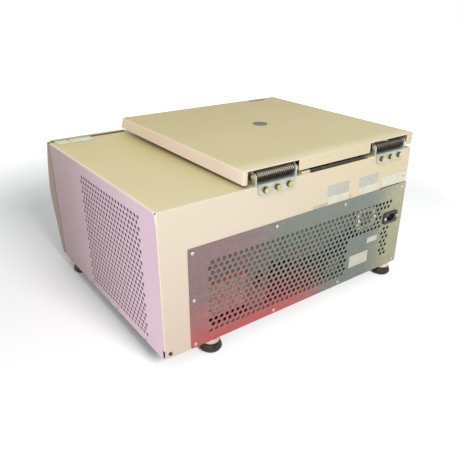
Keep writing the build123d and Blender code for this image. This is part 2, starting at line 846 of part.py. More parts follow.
def hinge_bolts():
    """Six hexagon bolts with washers, three to a bracket."""
    bolts = []
    y = rear_y + bracket_thickness
    z = top_z - bolt_drop
    for centre in hinge_centres().values():
        for index in (-1, 0, 1):
            x = centre + index * bolt_pitch
            washer = rod_y(x, y, y + 1.2, z, bolt_head_width * 0.62)
            head = hex_y(x, y + 1.2, y + bolt_head_height, z, bolt_head_width)
            shank = rod_y(x, rear_y, y, z, 3.0)
            bolts.append(head + washer + shank)
    return Compound(bolts)


def lid_ear_spots(centre):
    """Left and right lid ears, just outside the bracket's ears."""
    reach = bracket_ear_spread / 2 + fit_gap
    return [(centre - reach - lid_ear_thickness, centre - reach),
            (centre + reach, centre + reach + lid_ear_thickness)]


def lid_hinge_arms():
    """Two stiff leaves under the lid's skin, each with two ears on the axle."""
    leaves = []
    plate_z = lid_top_z - lid_wall
    front = rear_y - liner_rear_inset + fit_gap
    for centre in hinge_centres().values():
        spots = lid_ear_spots(centre)
        x0 = spots[0][0]
        x1 = spots[1][1]
        leaf = block(x0, x1, front, hinge_y - ear_radius - 6, plate_z - 3, plate_z)
        ear = make_face(Polyline((front, plate_z), (hinge_y, plate_z), (hinge_y, hinge_z - 5),
                                 (front, lid_bottom_z + 2), (front, plate_z)))
        for a, b in spots:
            leaf += prism_x(ear, a, b)
            leaf += rod_x(a, b, hinge_y, hinge_z, ear_radius - 0.8)
            leaf -= rod_x(a - 1, b + 1, hinge_y, hinge_z, axle_radius)
        leaves.append(leaf)
    return Compound(leaves)


def hinge_axles():
    """Axle rods, each with a round head at the left end and a hexagon nut at the right."""
    axles = []
    for centre in hinge_centres().values():
        spots = lid_ear_spots(centre)
        x0 = spots[0][0]
        x1 = spots[1][1]
        axle = rod_x(x0, x1, hinge_y, hinge_z, axle_radius)
        axle += hex_x(x1, x1 + axle_nut_height, hinge_y, hinge_z, axle_nut_width)
        axle += rod_x(x0 - axle_head_height, x0, hinge_y, hinge_z, axle_head_radius)
        axles.append(axle)
    return Compound(axles)


def torsion_spring(centre):
    """A close torsion spring around the axle."""
    length = spring_pitch * spring_turns
    start = centre - spring_left_of_centre
    path = Helix(spring_pitch, length, spring_radius, center=(start, hinge_y, hinge_z),
                 direction=(1, 0, 0))
    section = Plane(origin=path @ 0, z_dir=path % 0) * Circle(spring_wire_radius)
    return sweep(section, path, is_frenet=True)


def hinge_springs():
    return Compound([torsion_spring(centre) for centre in hinge_centres().values()])


def lid_striker():
    """Bent wire loop that hangs from the liner and drops through the cover's slot."""
    y = lid_front_y + striker_from_lid_front
    half = striker_width / 2
    wire = striker_wire_radius
    top = liner_bottom_z
    low = top - striker_drop
    pad = block(rotor_x - half - 8, rotor_x + half + 8, y - 7, y + 7, top - 2, top)
    legs = post(rotor_x - half, y, low, top - 1, wire) + post(rotor_x + half, y, low, top - 1, wire)
    bar = rod_x(rotor_x - half, rotor_x + half, y, low, wire)
    ends = [Pos(rotor_x + side * half, y, low) * Sphere(wire) for side in (-1, 1)]
    return pad + legs + bar + ends[0] + ends[1]


# Chamber and drive

def chamber_bowl():
    """Rolled wall with a flanged rim under the cover, welded on a pressed floor pan."""
    outer = post(rotor_x, rotor_y, bowl_floor_z, top_z - sheet, bowl_radius + bowl_wall)
    outer = fillet(outer.edges().group_by(Axis.Z)[0], bowl_corner_radius)
    inner = post(rotor_x, rotor_y, bowl_floor_z + bowl_wall, top_z + 1, bowl_radius)
    inner = fillet(inner.edges().group_by(Axis.Z)[0], bowl_corner_radius - bowl_wall)
    rim = ring(rotor_x, rotor_y, top_z - sheet - bowl_wall, top_z - sheet, bowl_rim_radius,
               bowl_radius)
    hole = post(rotor_x, rotor_y, bowl_floor_z - 5, bowl_floor_z + 5, motor_hole_radius)
    bowl = outer - inner + rim - hole
    weld_z = bowl_floor_z + bowl_weld_height
    pan = bowl & post(rotor_x, rotor_y, bowl_floor_z - 1, weld_z, bowl_rim_radius)
    wall = bowl - post(rotor_x, rotor_y, bowl_floor_z - 1, weld_z, bowl_rim_radius)
    return Compound([wall, pan])


def chamber_insulation():
    """Foam tub around and under the bowl."""
    floor_z = bowl_floor_z - foam_floor
    top = top_z - sheet - bowl_wall - fit_gap
    tub = post(rotor_x, rotor_y, floor_z, top, foam_outer_radius)
    tub -= post(rotor_x, rotor_y, bowl_floor_z - fit_gap, top + 1, foam_inner_radius)
    return tub - post(rotor_x, rotor_y, floor_z - 1, bowl_floor_z + 1, motor_radius + 8)


def armour_ring():
    """Thick steel ring that contains the rotor, standing on four feet on the base pan."""
    low = bowl_floor_z - foam_floor
    outer = armour_inner + armour_thickness
    shell = ring(rotor_x, rotor_y, low, top_z - sheet - bowl_wall - fit_gap, outer, armour_inner)
    for angle in (45, 135, 225, 315):
        x = rotor_x + (armour_inner + armour_thickness / 2) * math.cos(math.radians(angle))
        y = rotor_y + (armour_inner + armour_thickness / 2) * math.sin(math.radians(angle))
        leg = Pos(x, y, (low + base_z + 2) / 2) * Rot(0, 0, angle) * Box(
            armour_thickness * 0.8, 30, low - base_z - 2)
        shell += leg
    shelf = ring(rotor_x, rotor_y, low - 2, low, outer, armour_inner - 20)
    return shell + shelf


def evaporator_coil():
    """Cooling tube wound round the bowl, drawn as level turns."""
    turns = []
    radius = bowl_radius + bowl_wall + fit_gap + coil_tube_radius
    first = bowl_floor_z + bowl_corner_radius + 12
    for index in range(coil_turns):
        turns.append(Pos(rotor_x, rotor_y, first + index * coil_pitch)
                     * Torus(radius, coil_tube_radius))
    return Compound(turns)


def chamber_gasket():
    """Rubber lip round the opening, just under the closed lid."""
    low = top_z - sheet
    high = liner_bottom_z - 0.6
    outer = cover_opening_radius - fit_gap
    lip = ring(rotor_x, rotor_y, low, high, outer, outer - gasket_width)
    return fillet(lip.edges().group_by(Axis.Z)[-1], 1.5)


def motor_levels():
    low = base_z + 2 + mount_height
    return low, low + motor_flange_thickness


def drive_motor():
    """Brushless motor hung through its flange, with the neck up into the bowl."""
    low, high = motor_levels()
    can_low = base_z + 8
    body = post(rotor_x, rotor_y, can_low, can_low + motor_height, motor_radius)
    body = fillet(body.edges().group_by(Axis.Z)[0], 5)
    flange = post(rotor_x, rotor_y, low, high, motor_flange_radius)
    neck = post(rotor_x, rotor_y, can_low + motor_height, bowl_floor_z + bowl_wall + 4,
                motor_neck_radius)
    body = body + flange + neck
    return body - post(rotor_x, rotor_y, can_low + motor_height - 20, bowl_floor_z + 20,
                       shaft_radius + running_clearance)


def mount_spots():
    """Rubber mounts under the motor's flange and under the compressor, as (x, y)."""
    spots = [(rotor_x + mount_circle_radius * math.cos(math.radians(a)),
              rotor_y + mount_circle_radius * math.sin(math.radians(a))) for a in (90, 210, 330)]
    return spots


def compressor_centre():
    return compressor_x, seam_y + compressor_from_seam


def rubber_mounts():
    mounts = []
    for x, y in mount_spots():
        mount = post(x, y, base_z + 2, base_z + 2 + mount_height, mount_radius)
        waist = Pos(x, y, base_z + 2 + mount_height / 2) * Torus(mount_radius + 2, 4)
        mounts.append(mount - waist)
    cx, cy = compressor_centre()
    for a in (-1, 1):
        for b in (-1, 1):
            mounts.append(post(cx + a * 44, cy + b * 44, base_z + 2, base_z + 14, 9))
    return Compound(mounts)


def motor_shaft():
    """Shaft from the motor's bore to the rotor's seat, with a tapered tip."""
    low = base_z + 8 + motor_height - 19
    tip_z = pivot_z + yoke_height / 2
    thread = post(rotor_x, rotor_y, tip_z, tip_z + nut_height - 2, shaft_radius - 3)
    shoulder = post(rotor_x, rotor_y, bowl_floor_z + 12, pivot_z - yoke_height / 2, shaft_radius + 8)
    return post(rotor_x, rotor_y, low, tip_z, shaft_radius) + thread + shoulder


def rotor_yoke():
    """Cast rotor: a hub, two cross webs and two side arms that carry the trunnion pins."""
    low = pivot_z - yoke_height / 2
    high = pivot_z + yoke_height / 2
    arm_in = plate_length / 2 + carrier_wall + trunnion_seat_gap + 2
    arm_out = arm_in + yoke_arm_thickness
    body = post(rotor_x, rotor_y, low, high, yoke_hub_radius)
    body += block(rotor_x - 22, rotor_x + 22, rotor_y - arm_out, rotor_y + arm_out, low, high)
    for side in (-1, 1):
        y0, y1 = sorted((rotor_y + side * arm_in, rotor_y + side * arm_out))
        arm = block(rotor_x - yoke_arm_reach, rotor_x + yoke_arm_reach, y0, y1, low, high)
        arm = fillet(arm.edges().filter_by(Axis.Y), 10)
        body += arm
    body = body - post(rotor_x, rotor_y, low - 1, high + 1, shaft_radius)
    for side in (-1, 1):
        for end in (-1, 1):
            y0, y1 = sorted((rotor_y + side * (arm_in - 1), rotor_y + side * (arm_out + 1)))
            body -= rod_y(rotor_x + end * carrier_offset, y0, y1, pivot_z, trunnion_radius)
    return body


def trunnion_pins():
    """Four pins pressed in the arms, on which the carriers swing."""
    inner = plate_length / 2 + 0.2
    outer = plate_length / 2 + carrier_wall + trunnion_seat_gap + 2 + yoke_arm_thickness
    pins = []
    for side in (-1, 1):
        for end in (-1, 1):
            y0, y1 = sorted((rotor_y + side * inner, rotor_y + side * outer))
            pins.append(rod_y(rotor_x + end * carrier_offset, y0, y1, pivot_z, trunnion_radius))
    return pins


def rotor_nut():
    """Knurled nut on the shaft's thread, with a socket for its key."""
    low = pivot_z + yoke_height / 2
    nut = post(rotor_x, rotor_y, low, low + nut_height, nut_radius)
    nut = fillet(nut.edges().group_by(Axis.Z)[-1], 2)
    for index in range(12):
        angle = math.radians(30 * index)
        nut -= post(rotor_x + (nut_radius + 1) * math.cos(angle),
                    rotor_y + (nut_radius + 1) * math.sin(angle), low - 1, low + nut_height + 1, 2.5)
    bore = shaft_radius - 3 + running_clearance
    return nut - post(rotor_x, rotor_y, low - 1, low + nut_height - 2, bore)


def plate_carrier(side):
    """Open tray for one microplate, hung from two side plates."""
    x = rotor_x + side * carrier_offset
    half_x = plate_width / 2
    half_y = plate_length / 2
    low = pivot_z - carrier_drop
    tray = block(x - half_x - carrier_wall, x + half_x + carrier_wall,
                 rotor_y - half_y - carrier_wall, rotor_y + half_y + carrier_wall,
                 low, low + carrier_rim_height)
    tray = fillet(tray.edges().filter_by(Axis.Z), 3)
    cavity = block(x - half_x, x + half_x, rotor_y - half_y, rotor_y + half_y,
                   low + carrier_wall, low + carrier_rim_height + 1)
    tray -= cavity
    for end in (-1, 1):
        y0, y1 = sorted((rotor_y + end * half_y, rotor_y + end * (half_y + carrier_wall)))
        hanger = make_face(Polyline((x - half_x, low + 4), (x + half_x, low + 4),
                                    (x + 15, pivot_z + carrier_side_top),
                                    (x - 15, pivot_z + carrier_side_top), (x - half_x, low + 4)))
        plane = Plane(origin=(0, y1, 0), x_dir=(1, 0, 0), z_dir=(0, -1, 0))
        tray += extrude(plane * hanger, carrier_wall)
        tray -= rod_y(x, y0 - 1, y1 + 1, pivot_z, trunnion_radius + running_clearance)
    return tray


# Latch

def latch_point():
    return seam_y + latch_pivot_inset, top_z - latch_pivot_drop


def latch_hook():
    """Motor-turned hook, drawn gripping the loop, then turned back to its released rest."""
    y, z = latch_point()
    bar_y = lid_front_y + striker_from_lid_front
    tip_low = z + latch_reach - 5
    front = y - latch_arm_half
    arm = block(rotor_x - 4, rotor_x + 4, front, y + latch_arm_half, z, z + latch_reach)
    beak = block(rotor_x - 4, rotor_x + 4, front, bar_y + 5, tip_low, z + latch_reach)
    hub = rod_x(rotor_x - 6, rotor_x + 6, y, z, 9)
    hook = arm + beak + hub - rod_x(rotor_x - 7, rotor_x + 7, y, z, 4 + running_clearance)
    return hook.rotate(Axis((0, y, z), (1, 0, 0)), latch_swing)


def latch_frame():
    """Two cheeks on a back plate behind the bulkhead, with the hook's axle and its gear motor."""
    y, z = latch_point()
    wall_y = seam_y + sheet
    plate = block(rotor_x - 38, rotor_x + 38, wall_y, wall_y + 2, z - 26, z + 30)
    plate -= block(rotor_x - 9, rotor_x + 9, wall_y - 1, wall_y + 3, z - 14, z + 31)
    for side in (-1, 1):
        x0, x1 = sorted((rotor_x + side * 9, rotor_x + side * 12))
        plate += block(x0, x1, wall_y, wall_y + 15, z - 14, z + 14)
    plate += rod_x(rotor_x - 12, rotor_x + 12, y, z, 4)
    motor = rod_x(rotor_x + 12, rotor_x + 36, wall_y + 14, z, 11)
    return plate + motor


# Cooling bay

def condenser_levels():
    x1 = half_width - sheet - condenser_gap
    x0 = x1 - condenser_thickness
    y1 = rear_y - side_field_rear
    y0 = y1 - condenser_depth
    z0 = base_z + 2
    return x0, x1, y0, y1, z0, z0 + condenser_height


def condenser_fins():
    """Finned block behind the side grille: a web with thin fins to both sides."""
    x0, x1, y0, y1, z0, z1 = condenser_levels()
    middle = (x0 + x1) / 2
    core = block(middle - condenser_web / 2, middle + condenser_web / 2, y0, y1, z0, z1)
    count = int((y1 - y0) / fin_pitch)
    fins = [block(x0, x1, y0 + index * fin_pitch, y0 + index * fin_pitch + fin_thickness, z0, z1)
            for index in range(count)]
    return core + fins


def bend_spots():
    x0, x1, y0, y1, z0, z1 = condenser_levels()
    pitch = 26.0
    count = int((z1 - z0) / pitch)
    return [z0 + pitch * (index + 0.5) for index in range(count)], pitch


def condenser_bends():
    """Copper return bends on both ends of the condenser."""
    x0, x1, y0, y1, z0, z1 = condenser_levels()
    middle = (x0 + x1) / 2
    levels, pitch = bend_spots()
    radius = pitch / 4
    bends = []
    for z in levels:
        for y, sign in ((y0, -1), (y1, 1)):
            if y == y0 and z in (levels[0], levels[-1]):
                continue
            bend = Pos(middle, y, z) * Rot(0, 90, 0) * Torus(radius, bend_tube_radius * 0.9)
            keep = block(middle - 20, middle + 20, min(y, y + sign * 30), max(y, y + sign * 30),
                         z - 20, z + 20)
            bends.append(bend & keep)
    return Compound([piece for bend in bends for piece in bend.solids()])


def fan_centre():
    x0, x1, y0, y1, z0, z1 = condenser_levels()
    return x0 - shroud_gap, (y0 + y1) / 2, (z0 + z1) / 2


def fan_shroud():
    """Sheet that guides the air, with a collar for the fan and struts to its motor."""
    x1, y, z = fan_centre()
    x0, _, y0, y1, z0, z1 = condenser_levels()
    wall = block(x1 - shroud_thickness, x1, y0, y1, z0, z1)
    wall -= rod_x(x1 - 10, x1 + 1, y, z, fan_radius + 3)
    wall += block(x1, x0, y0, y1, z1 - 3, z1) + block(x1, x0, y0, y1, z0, z0 + 3)
    back = x1 - fan_depth - 8
    for side in (-1, 1):
        strut = block(back - 3, back, y + side * 30 - 5, y + side * 30 + 5, z0, z1)
        foot_x = block(back - 3, x1, y + side * 30 - 5, y + side * 30 + 5, z0, z0 + 3)
        head_x = block(back - 3, x1, y + side * 30 - 5, y + side * 30 + 5, z1 - 3, z1)
        wall += strut + foot_x + head_x
    return wall


def fan_motor():
    x1, y, z = fan_centre()
    face = x1 - fan_depth - 8 - 3
    can = rod_x(face - fan_motor_length, face, y, z, fan_motor_radius)
    can = fillet(can.edges().group_by(Axis.X)[0], 5)
    sleeve = rod_x(face, face + 5, y, z, 10)
    return can + sleeve - rod_x(face - 10, face + 6, y, z, 4 + running_clearance)


def condenser_fan():
    """Five pitched blades on a hub, with the stub shaft in the motor."""
    x1, y, z = fan_centre()
    centre_x = x1 - fan_depth / 2
    hub = rod_x(centre_x - fan_depth / 2 + 1, centre_x + fan_depth / 2, y, z, fan_hub_radius)
    shaft = rod_x(x1 - fan_depth - 8 - 3 - 8, centre_x, y, z, 4)
    fan = hub + shaft
    for index in range(fan_blades):
        blade = Pos(fan_hub_radius + (fan_radius - fan_hub_radius) / 2 - 2, 0, 0) * Rot(28, 0, 0) \
            * Box(fan_radius - fan_hub_radius, 42, 2)
        blade = Rot(0, 0, index * 360 / fan_blades) * blade
        fan += Pos(centre_x, y, z) * Rot(0, 90, 0) * blade
    return fan


def compressor():
    """Welded steel dome on a foot plate, with its suction and discharge stubs."""
    x, y = compressor_centre()
    low = base_z + 14
    foot = Pos(x, y, low + 2) * Box(compressor_foot_width, compressor_foot_width, 4)
    foot = fillet(foot.edges().filter_by(Axis.Z), 12)
    dome = post(x, y, low + 4, low + 4 + compressor_height, compressor_radius)
    dome = fillet(dome.edges().group_by(Axis.Z)[-1], 36)
    dome = fillet(dome.edges().group_by(Axis.Z)[0], 8)
    seam = ring(x, y, low + 88, low + 92, compressor_radius + 3, compressor_radius - 2)
    return foot + dome + seam


def pipe(points, radii):
    """A copper tube along straight runs joined by arcs."""
    path = FilletPolyline(*points, radius=radii) if radii else Line(*points)
    section = Plane(origin=path @ 0, z_dir=path % 0) * Circle(pipe_radius)
    return sweep(section, path)


def refrigerant_pipes():
    """Discharge line to the condenser, liquid line to the drier, and its line to the bowl."""
    cx, cy = compressor_centre()
    x0, x1, y0, y1, z0, z1 = condenser_levels()
    middle = (x0 + x1) / 2
    levels, _ = bend_spots()
    port_z = base_z + discharge_port_height
    end_y = y0 - 0.2
    discharge = pipe([(cx + compressor_radius + 0.2, cy, port_z), (middle, cy, port_z),
                      (middle, y0 - 40, levels[-1]), (middle, end_y, levels[-1])], 10)
    drier_x = cx - 64
    drier_y = y0 - 12
    drier_low = levels[0] + drier_rise
    drier_high = drier_low + drier_length
    liquid = pipe([(middle, end_y, levels[0]), (middle, drier_y, levels[0]),
                   (drier_x, drier_y, levels[0]), (drier_x, drier_y, drier_low)], 8)
    drier = post(drier_x, drier_y, drier_low, drier_high, drier_radius)
    drier = fillet(drier.edges(), 6)
    ring_radius = armour_inner + armour_thickness + fit_gap
    ring_x = rotor_x + math.sqrt(ring_radius ** 2 - (rotor_y - drier_y) ** 2)
    feed = pipe([(drier_x, drier_y, drier_high), (drier_x, drier_y, drier_high + feed_rise),
                 (ring_x + pipe_radius, drier_y, drier_high + feed_rise)], 12)
    return Compound([discharge, liquid + drier + feed])


# Electronics

def board_plane_y():
    return rear_y - board_from_grille


def power_board():
    """Phenolic board on edge just behind the grille, held by two rails from the base pan."""
    z1 = top_z - board_drop
    y = board_plane_y()
    return block(board_left, board_left + board_width, y - board_thickness, y,
                 z1 - board_height, z1)


def board_components():
    """Capacitors, transformer, relays and a finned heat sink, and the board's two rails."""
    z1 = top_z - board_drop
    z0 = z1 - board_height
    y = board_plane_y() - board_thickness
    parts = []
    for x, z in ((board_left + 14, z0 + 16), (board_left + 14, z1 - 18)):
        parts.append(rod_y(x, y - 35, y, z, 9))
    parts.append(block(board_left + 30, board_left + 62, y - 40, y, z0 + 8, z0 + 42))
    sink_x = board_left + heat_sink_from_board_left
    sink = block(sink_x, sink_x + heat_sink_width, y - 6, y, z0 + 10, z1 - 10)
    for index in range(5):
        x = sink_x + 1 + index * heat_sink_width / 5
        sink += block(x, x + 2, y - 30, y - 6, z0 + 10, z1 - 10)
    parts.append(sink)
    for index in range(2):
        x = board_left + 30 + index * 18
        parts.append(block(x, x + 14, y - 16, y, z1 - 26, z1 - 8))
    for x in (board_left + 2.5, board_left + board_width - 2.5):
        parts.append(block(x - 2, x + 2, y - 3, y, base_z + 2, z1 - 4))
    return Compound(parts)


def rear_fan_frame():
    """Fan frame with a round duct, held to the inside of the grille plate by two ears."""
    half = rear_fan_size / 2
    half_across = rear_fan_screw_spread / 2 + 5
    z = top_z - rear_fan_drop
    y1 = rear_y
    frame = block(rear_fan_x - half_across, rear_fan_x + half_across, y1 - rear_fan_depth, y1,
                  z - half, z + half)
    frame = fillet(frame.edges().filter_by(Axis.Y), 5)
    frame -= rod_y(rear_fan_x, y1 - rear_fan_depth - 1, y1 + 1, z, half - 2)
    hub = rod_y(rear_fan_x, y1 - rear_fan_depth, y1 - rear_fan_depth + 4, z, 8.5)
    frame += hub
    for angle in (45, 135, 225, 315):
        spoke = Pos(rear_fan_x, y1 - rear_fan_depth + 1.5, z) * Rot(0, angle, 0) * Pos(
            half / 2, 0, 0) * Box(half + 2, 3, 4)
        frame += spoke
    frame -= rod_y(rear_fan_x, y1 - rear_fan_depth + 1, y1, z, 2 + running_clearance)
    for x, zz in rear_fan_screw_spots():
        frame -= rod_y(x, y1 - 8, y1 + 1, zz, 1.8)
    return frame


def rear_fan_wheel():
    z = top_z - rear_fan_drop
    y0 = rear_y - rear_fan_depth + 4 + fit_gap
    hub = rod_y(rear_fan_x, y0, rear_y - 3, z, 9)
    fan = hub + rod_y(rear_fan_x, y0 - 3, y0, z, 2)
    reach = rear_fan_size / 2 - 3.2
    for index in range(rear_fan_blades):
        blade = Pos(8 + (reach - 8) / 2, 0, 0) * Rot(32, 0, 0) * Box(reach - 8, 12, 1.5)
        blade = Rot(0, 0, index * 360 / rear_fan_blades) * blade
        fan += Pos(rear_fan_x, (y0 + rear_y - 3) / 2, z) * Rot(90, 0, 0) * blade
    return fan


def power_inlet():
    """Three-pole inlet with a screwed flange, its socket open to the rear."""
    z = inlet_z()
    y = grille_face_y
    half_w = inlet_width / 2
    half_h = inlet_height / 2
    flange = block(inlet_x - half_w, inlet_x + half_w, y, y + inlet_flange, z - half_h, z + half_h)
    flange = fillet(flange.edges().filter_by(Axis.Y), 5)
    body_width_across, body_height_across = inlet_body_size()
    body = Pos(inlet_x, y - inlet_body_depth / 2, z) * Box(body_width_across, inlet_body_depth,
                                                           body_height_across)
    socket_length = inlet_socket_depth + inlet_flange + 1
    socket = Pos(inlet_x, y - inlet_socket_depth + socket_length / 2, z) * Box(
        inlet_socket_width, socket_length, inlet_socket_height)
    socket = chamfer(socket.edges().filter_by(Axis.Y).group_by(Axis.Z)[0], inlet_socket_corner)
    piece = flange + body - socket
    for side in (-1, 1):
        piece -= rod_y(inlet_x + side * inlet_screw_spacing / 2, y - 1, y + inlet_flange + 1, z, 2.1)
    return piece


def inlet_pins():
    z = inlet_z()
    y = grille_face_y - inlet_socket_depth
    pins = [block(inlet_x + a - 1, inlet_x + a + 1, y, y + inlet_pin_length, z + b - 2, z + b + 2)
            for a, b in ((-7, -2.5), (0, 2.5), (7, -2.5))]
    return Compound(pins)


def blank_labels():
    """Bare stickers and a bare plate on the rear face, each given from the left side and the top."""
    on_strip = [(256, 294, 73, 79), (195, 257, 38, 77), (102, 163, 40, 79), (28, 90, 52, 79),
                (3, 26, 55, 79)]
    on_grille = [(82, 116, 191, 204), (109, 170, 222, 251)]
    plates = []
    for face_y, spots in ((rear_y, on_strip), (grille_face_y, on_grille)):
        for near, far, high, low in spots:
            plates.append(block(near - half_width, far - half_width, face_y, face_y + label_thickness,
                                top_z - low, top_z - high))
    return Compound(plates)


def rear_seal_strip():
    """Rubber strip on the cover under the lid's rear edge."""
    centres = sorted(hinge_centres().values())
    x0 = centres[0] + hinge_window_right + 10
    x1 = centres[1] - hinge_window_left - 10
    return block(x0, x1, rear_y - 16, rear_y - 4, top_z, top_z + 5)


# Feet

def foot_spots():
    left = -half_width + foot_left_inset
    rear = rear_y - foot_rear_inset
    front = seam_y + foot_front_inset
    return [(half_width - foot_rear_right_inset, rear), (half_width - foot_front_right_inset, front),
            (left, rear), (left, front)]


def foot_stems():
    stems = []
    for x, y in foot_spots():
        stem = post(x, y, foot_rubber_height, base_z, foot_stem_radius)
        stems.append(chamfer(stem.edges().group_by(Axis.Z)[0], 2.5))
    return Compound(stems)


def foot_rubbers():
    """Round rubber feet, widest a little above the bench."""
    feet = []
    for x, y in foot_spots():
        outline = make_face([Line((0, 0), (foot_radius - 3, 0)),
                             Line((foot_radius - 3, 0), (foot_radius, 5)),
                             Line((foot_radius, 5), (foot_radius - 1, 10)),
                             Line((foot_radius - 1, 10), (foot_stem_radius + 1, foot_rubber_height)),
                             Line((foot_stem_radius + 1, foot_rubber_height), (0, foot_rubber_height)),
                             Line((0, foot_rubber_height), (0, 0))])
        feet.append(Pos(x, y, 0) * revolve(Plane.XZ * outline, Axis.Z))
    return Compound(feet)


def save(name, piece):
    export_step(piece, f"parts/{name}.step")


def build_all():
    os.makedirs("parts", exist_ok=True)
    shell = cover_shell()
    centres = hinge_centres()
    save("housing_cover", housing_cover(shell))
    save("right_side_panel", right_side_panel(shell))
    save("left_side_panel", side_panel(shell, -1))
    save("base_pan", base_pan())
    save("front_bulkhead", front_bulkhead())
    save("rear_grille", rear_grille())
    save("rear_panel_screws", rear_panel_screws())
    save("base_screws", base_screws())
    save("front_fascia", front_fascia())
    save("control_panel", control_panel())
    save("display_window", display_window())
    for name, x in zip(key_names, key_spots()):
        save(name, key(x))
    save("speed_knob", knob(-1))
    save("time_knob", knob(1))
    save("switch_frame", switch_frame())
    save("mains_rocker", mains_rocker())
    save("lid_shell", ajar(lid_shell()))
    save("lid_liner", ajar(lid_liner()))
    save("sight_glass", ajar(sight_glass()))
    save("lid_hinge_arms", ajar(lid_hinge_arms()))
    save("hinge_axles", ajar(hinge_axles()))
    save("lid_striker", ajar(lid_striker()))
    save("right_hinge_bracket", hinge_bracket(centres["right"]))
    save("left_hinge_bracket", hinge_bracket(centres["left"]))
    save("hinge_bolts", hinge_bolts())
    save("hinge_springs", hinge_springs())
    save("rear_seal_strip", rear_seal_strip())
    save("chamber_bowl", chamber_bowl())
    save("chamber_insulation", chamber_insulation())
    save("armour_ring", armour_ring())
    save("evaporator_coil", evaporator_coil())
    save("chamber_gasket", chamber_gasket())
    save("drive_motor", drive_motor())
    save("rubber_mounts", rubber_mounts())
    save("motor_shaft", motor_shaft())
    save("rotor_yoke", Compound([rotor_yoke()] + trunnion_pins()))
    save("rotor_nut", rotor_nut())
    save("right_plate_carrier", plate_carrier(1))
    save("left_plate_carrier", plate_carrier(-1))
    save("latch_hook", latch_hook())
    save("latch_frame", latch_frame())
    save("condenser_fins", condenser_fins())
    save("condenser_bends", condenser_bends())
    save("fan_shroud", fan_shroud())
    save("fan_motor", fan_motor())
    save("condenser_fan", condenser_fan())
    save("compressor", compressor())
    save("refrigerant_pipes", refrigerant_pipes())
    save("power_board", power_board())
    save("board_components", board_components())
    save("rear_fan_frame", rear_fan_frame())
    save("rear_fan_wheel", rear_fan_wheel())
    save("power_inlet", power_inlet())
    save("inlet_pins", inlet_pins())
    save("blank_labels", blank_labels())
    save("foot_stems", foot_stems())
    save("foot_rubbers", foot_rubbers())


build_all()
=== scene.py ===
import math

import bmesh
import bpy
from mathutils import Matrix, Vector


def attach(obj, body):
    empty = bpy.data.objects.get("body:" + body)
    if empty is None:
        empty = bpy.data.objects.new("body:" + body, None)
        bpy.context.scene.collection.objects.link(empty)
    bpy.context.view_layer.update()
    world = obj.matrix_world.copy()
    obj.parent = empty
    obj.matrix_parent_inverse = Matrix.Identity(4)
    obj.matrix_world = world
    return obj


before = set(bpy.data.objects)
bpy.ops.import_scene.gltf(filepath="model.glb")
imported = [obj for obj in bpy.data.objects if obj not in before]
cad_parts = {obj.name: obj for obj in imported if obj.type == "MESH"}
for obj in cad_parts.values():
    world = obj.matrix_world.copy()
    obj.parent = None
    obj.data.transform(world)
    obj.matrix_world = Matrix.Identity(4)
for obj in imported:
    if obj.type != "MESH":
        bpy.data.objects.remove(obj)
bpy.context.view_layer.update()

scene = bpy.context.scene
scene.view_settings.view_transform = "Standard"


# Camera. It stands off the right rear corner, a little above the lid, and looks down at the
# middle of the housing.
eye = Vector((0.6409, 0.9110, 0.6113))
aim = Vector((0.02387, 0.06224, 0.1229))
lens = bpy.data.cameras.new("camera")
lens.lens = 39.17
lens.sensor_width = 36.0
camera = bpy.data.objects.new("camera", lens)
camera.location = eye
camera.rotation_euler = (aim - eye).to_track_quat("-Z", "Y").to_euler()
scene.collection.objects.link(camera)
scene.camera = camera


# Studio. A pale floor under a white sky. A broad soft lamp over the right rear corner lights the
# machine, and a floor lamp high behind the rear throws the soft shadow beyond the fascia.
def feed(tree, socket, value):
    """Gives a socket a value or another node's output."""
    if isinstance(value, bpy.types.NodeSocket):
        tree.links.new(value, socket)
    else:
        socket.default_value = value


def node(tree, kind, **inputs):
    """A shader node, its inputs fed by name."""
    made = tree.nodes.new("ShaderNode" + kind)
    for name, value in inputs.items():
        feed(tree, made.inputs[name.replace("_", " ")], value)
    return made


def arithmetic(tree, how, *values):
    """A Math node, its inputs fed in order."""
    made = node(tree, "Math")
    made.operation = how
    for socket, value in zip(made.inputs, values):
        feed(tree, socket, value)
    return made.outputs[0]


def larger(tree, first, second):
    return arithmetic(tree, "MAXIMUM", first, second)


def seen_directly(tree):
    """1 for camera, glossy and transmission rays, which see the background itself."""
    path = node(tree, "LightPath").outputs
    mirrored = larger(tree, path["Is Glossy Ray"], path["Is Transmission Ray"])
    return larger(tree, path["Is Camera Ray"], mirrored)


sky_light = 0.54
world = bpy.data.worlds.new("studio")
world.use_nodes = True
scene.world = world
sky = world.node_tree
sky.nodes.clear()
plain = node(sky, "Background", Color=(0.97, 0.985, 1.0, 1), Strength=sky_light)
white = node(sky, "Background", Color=(1, 1, 1, 1), Strength=1.0)
chosen = node(sky, "MixShader", Fac=seen_directly(sky))
sky.links.new(plain.outputs[0], chosen.inputs[1])
sky.links.new(white.outputs[0], chosen.inputs[2])
sky_out = node(sky, "OutputWorld")
sky.links.new(chosen.outputs[0], sky_out.inputs["Surface"])

floor_half = 12.0
floor_mesh = bpy.data.meshes.new("studio_floor")
corners = [(-floor_half, -floor_half, 0), (floor_half, -floor_half, 0),
           (floor_half, floor_half, 0), (-floor_half, floor_half, 0)]
floor_mesh.from_pydata(corners, [], [(0, 1, 2, 3)])
studio_floor = bpy.data.objects.new("studio_floor", floor_mesh)
scene.collection.objects.link(studio_floor)

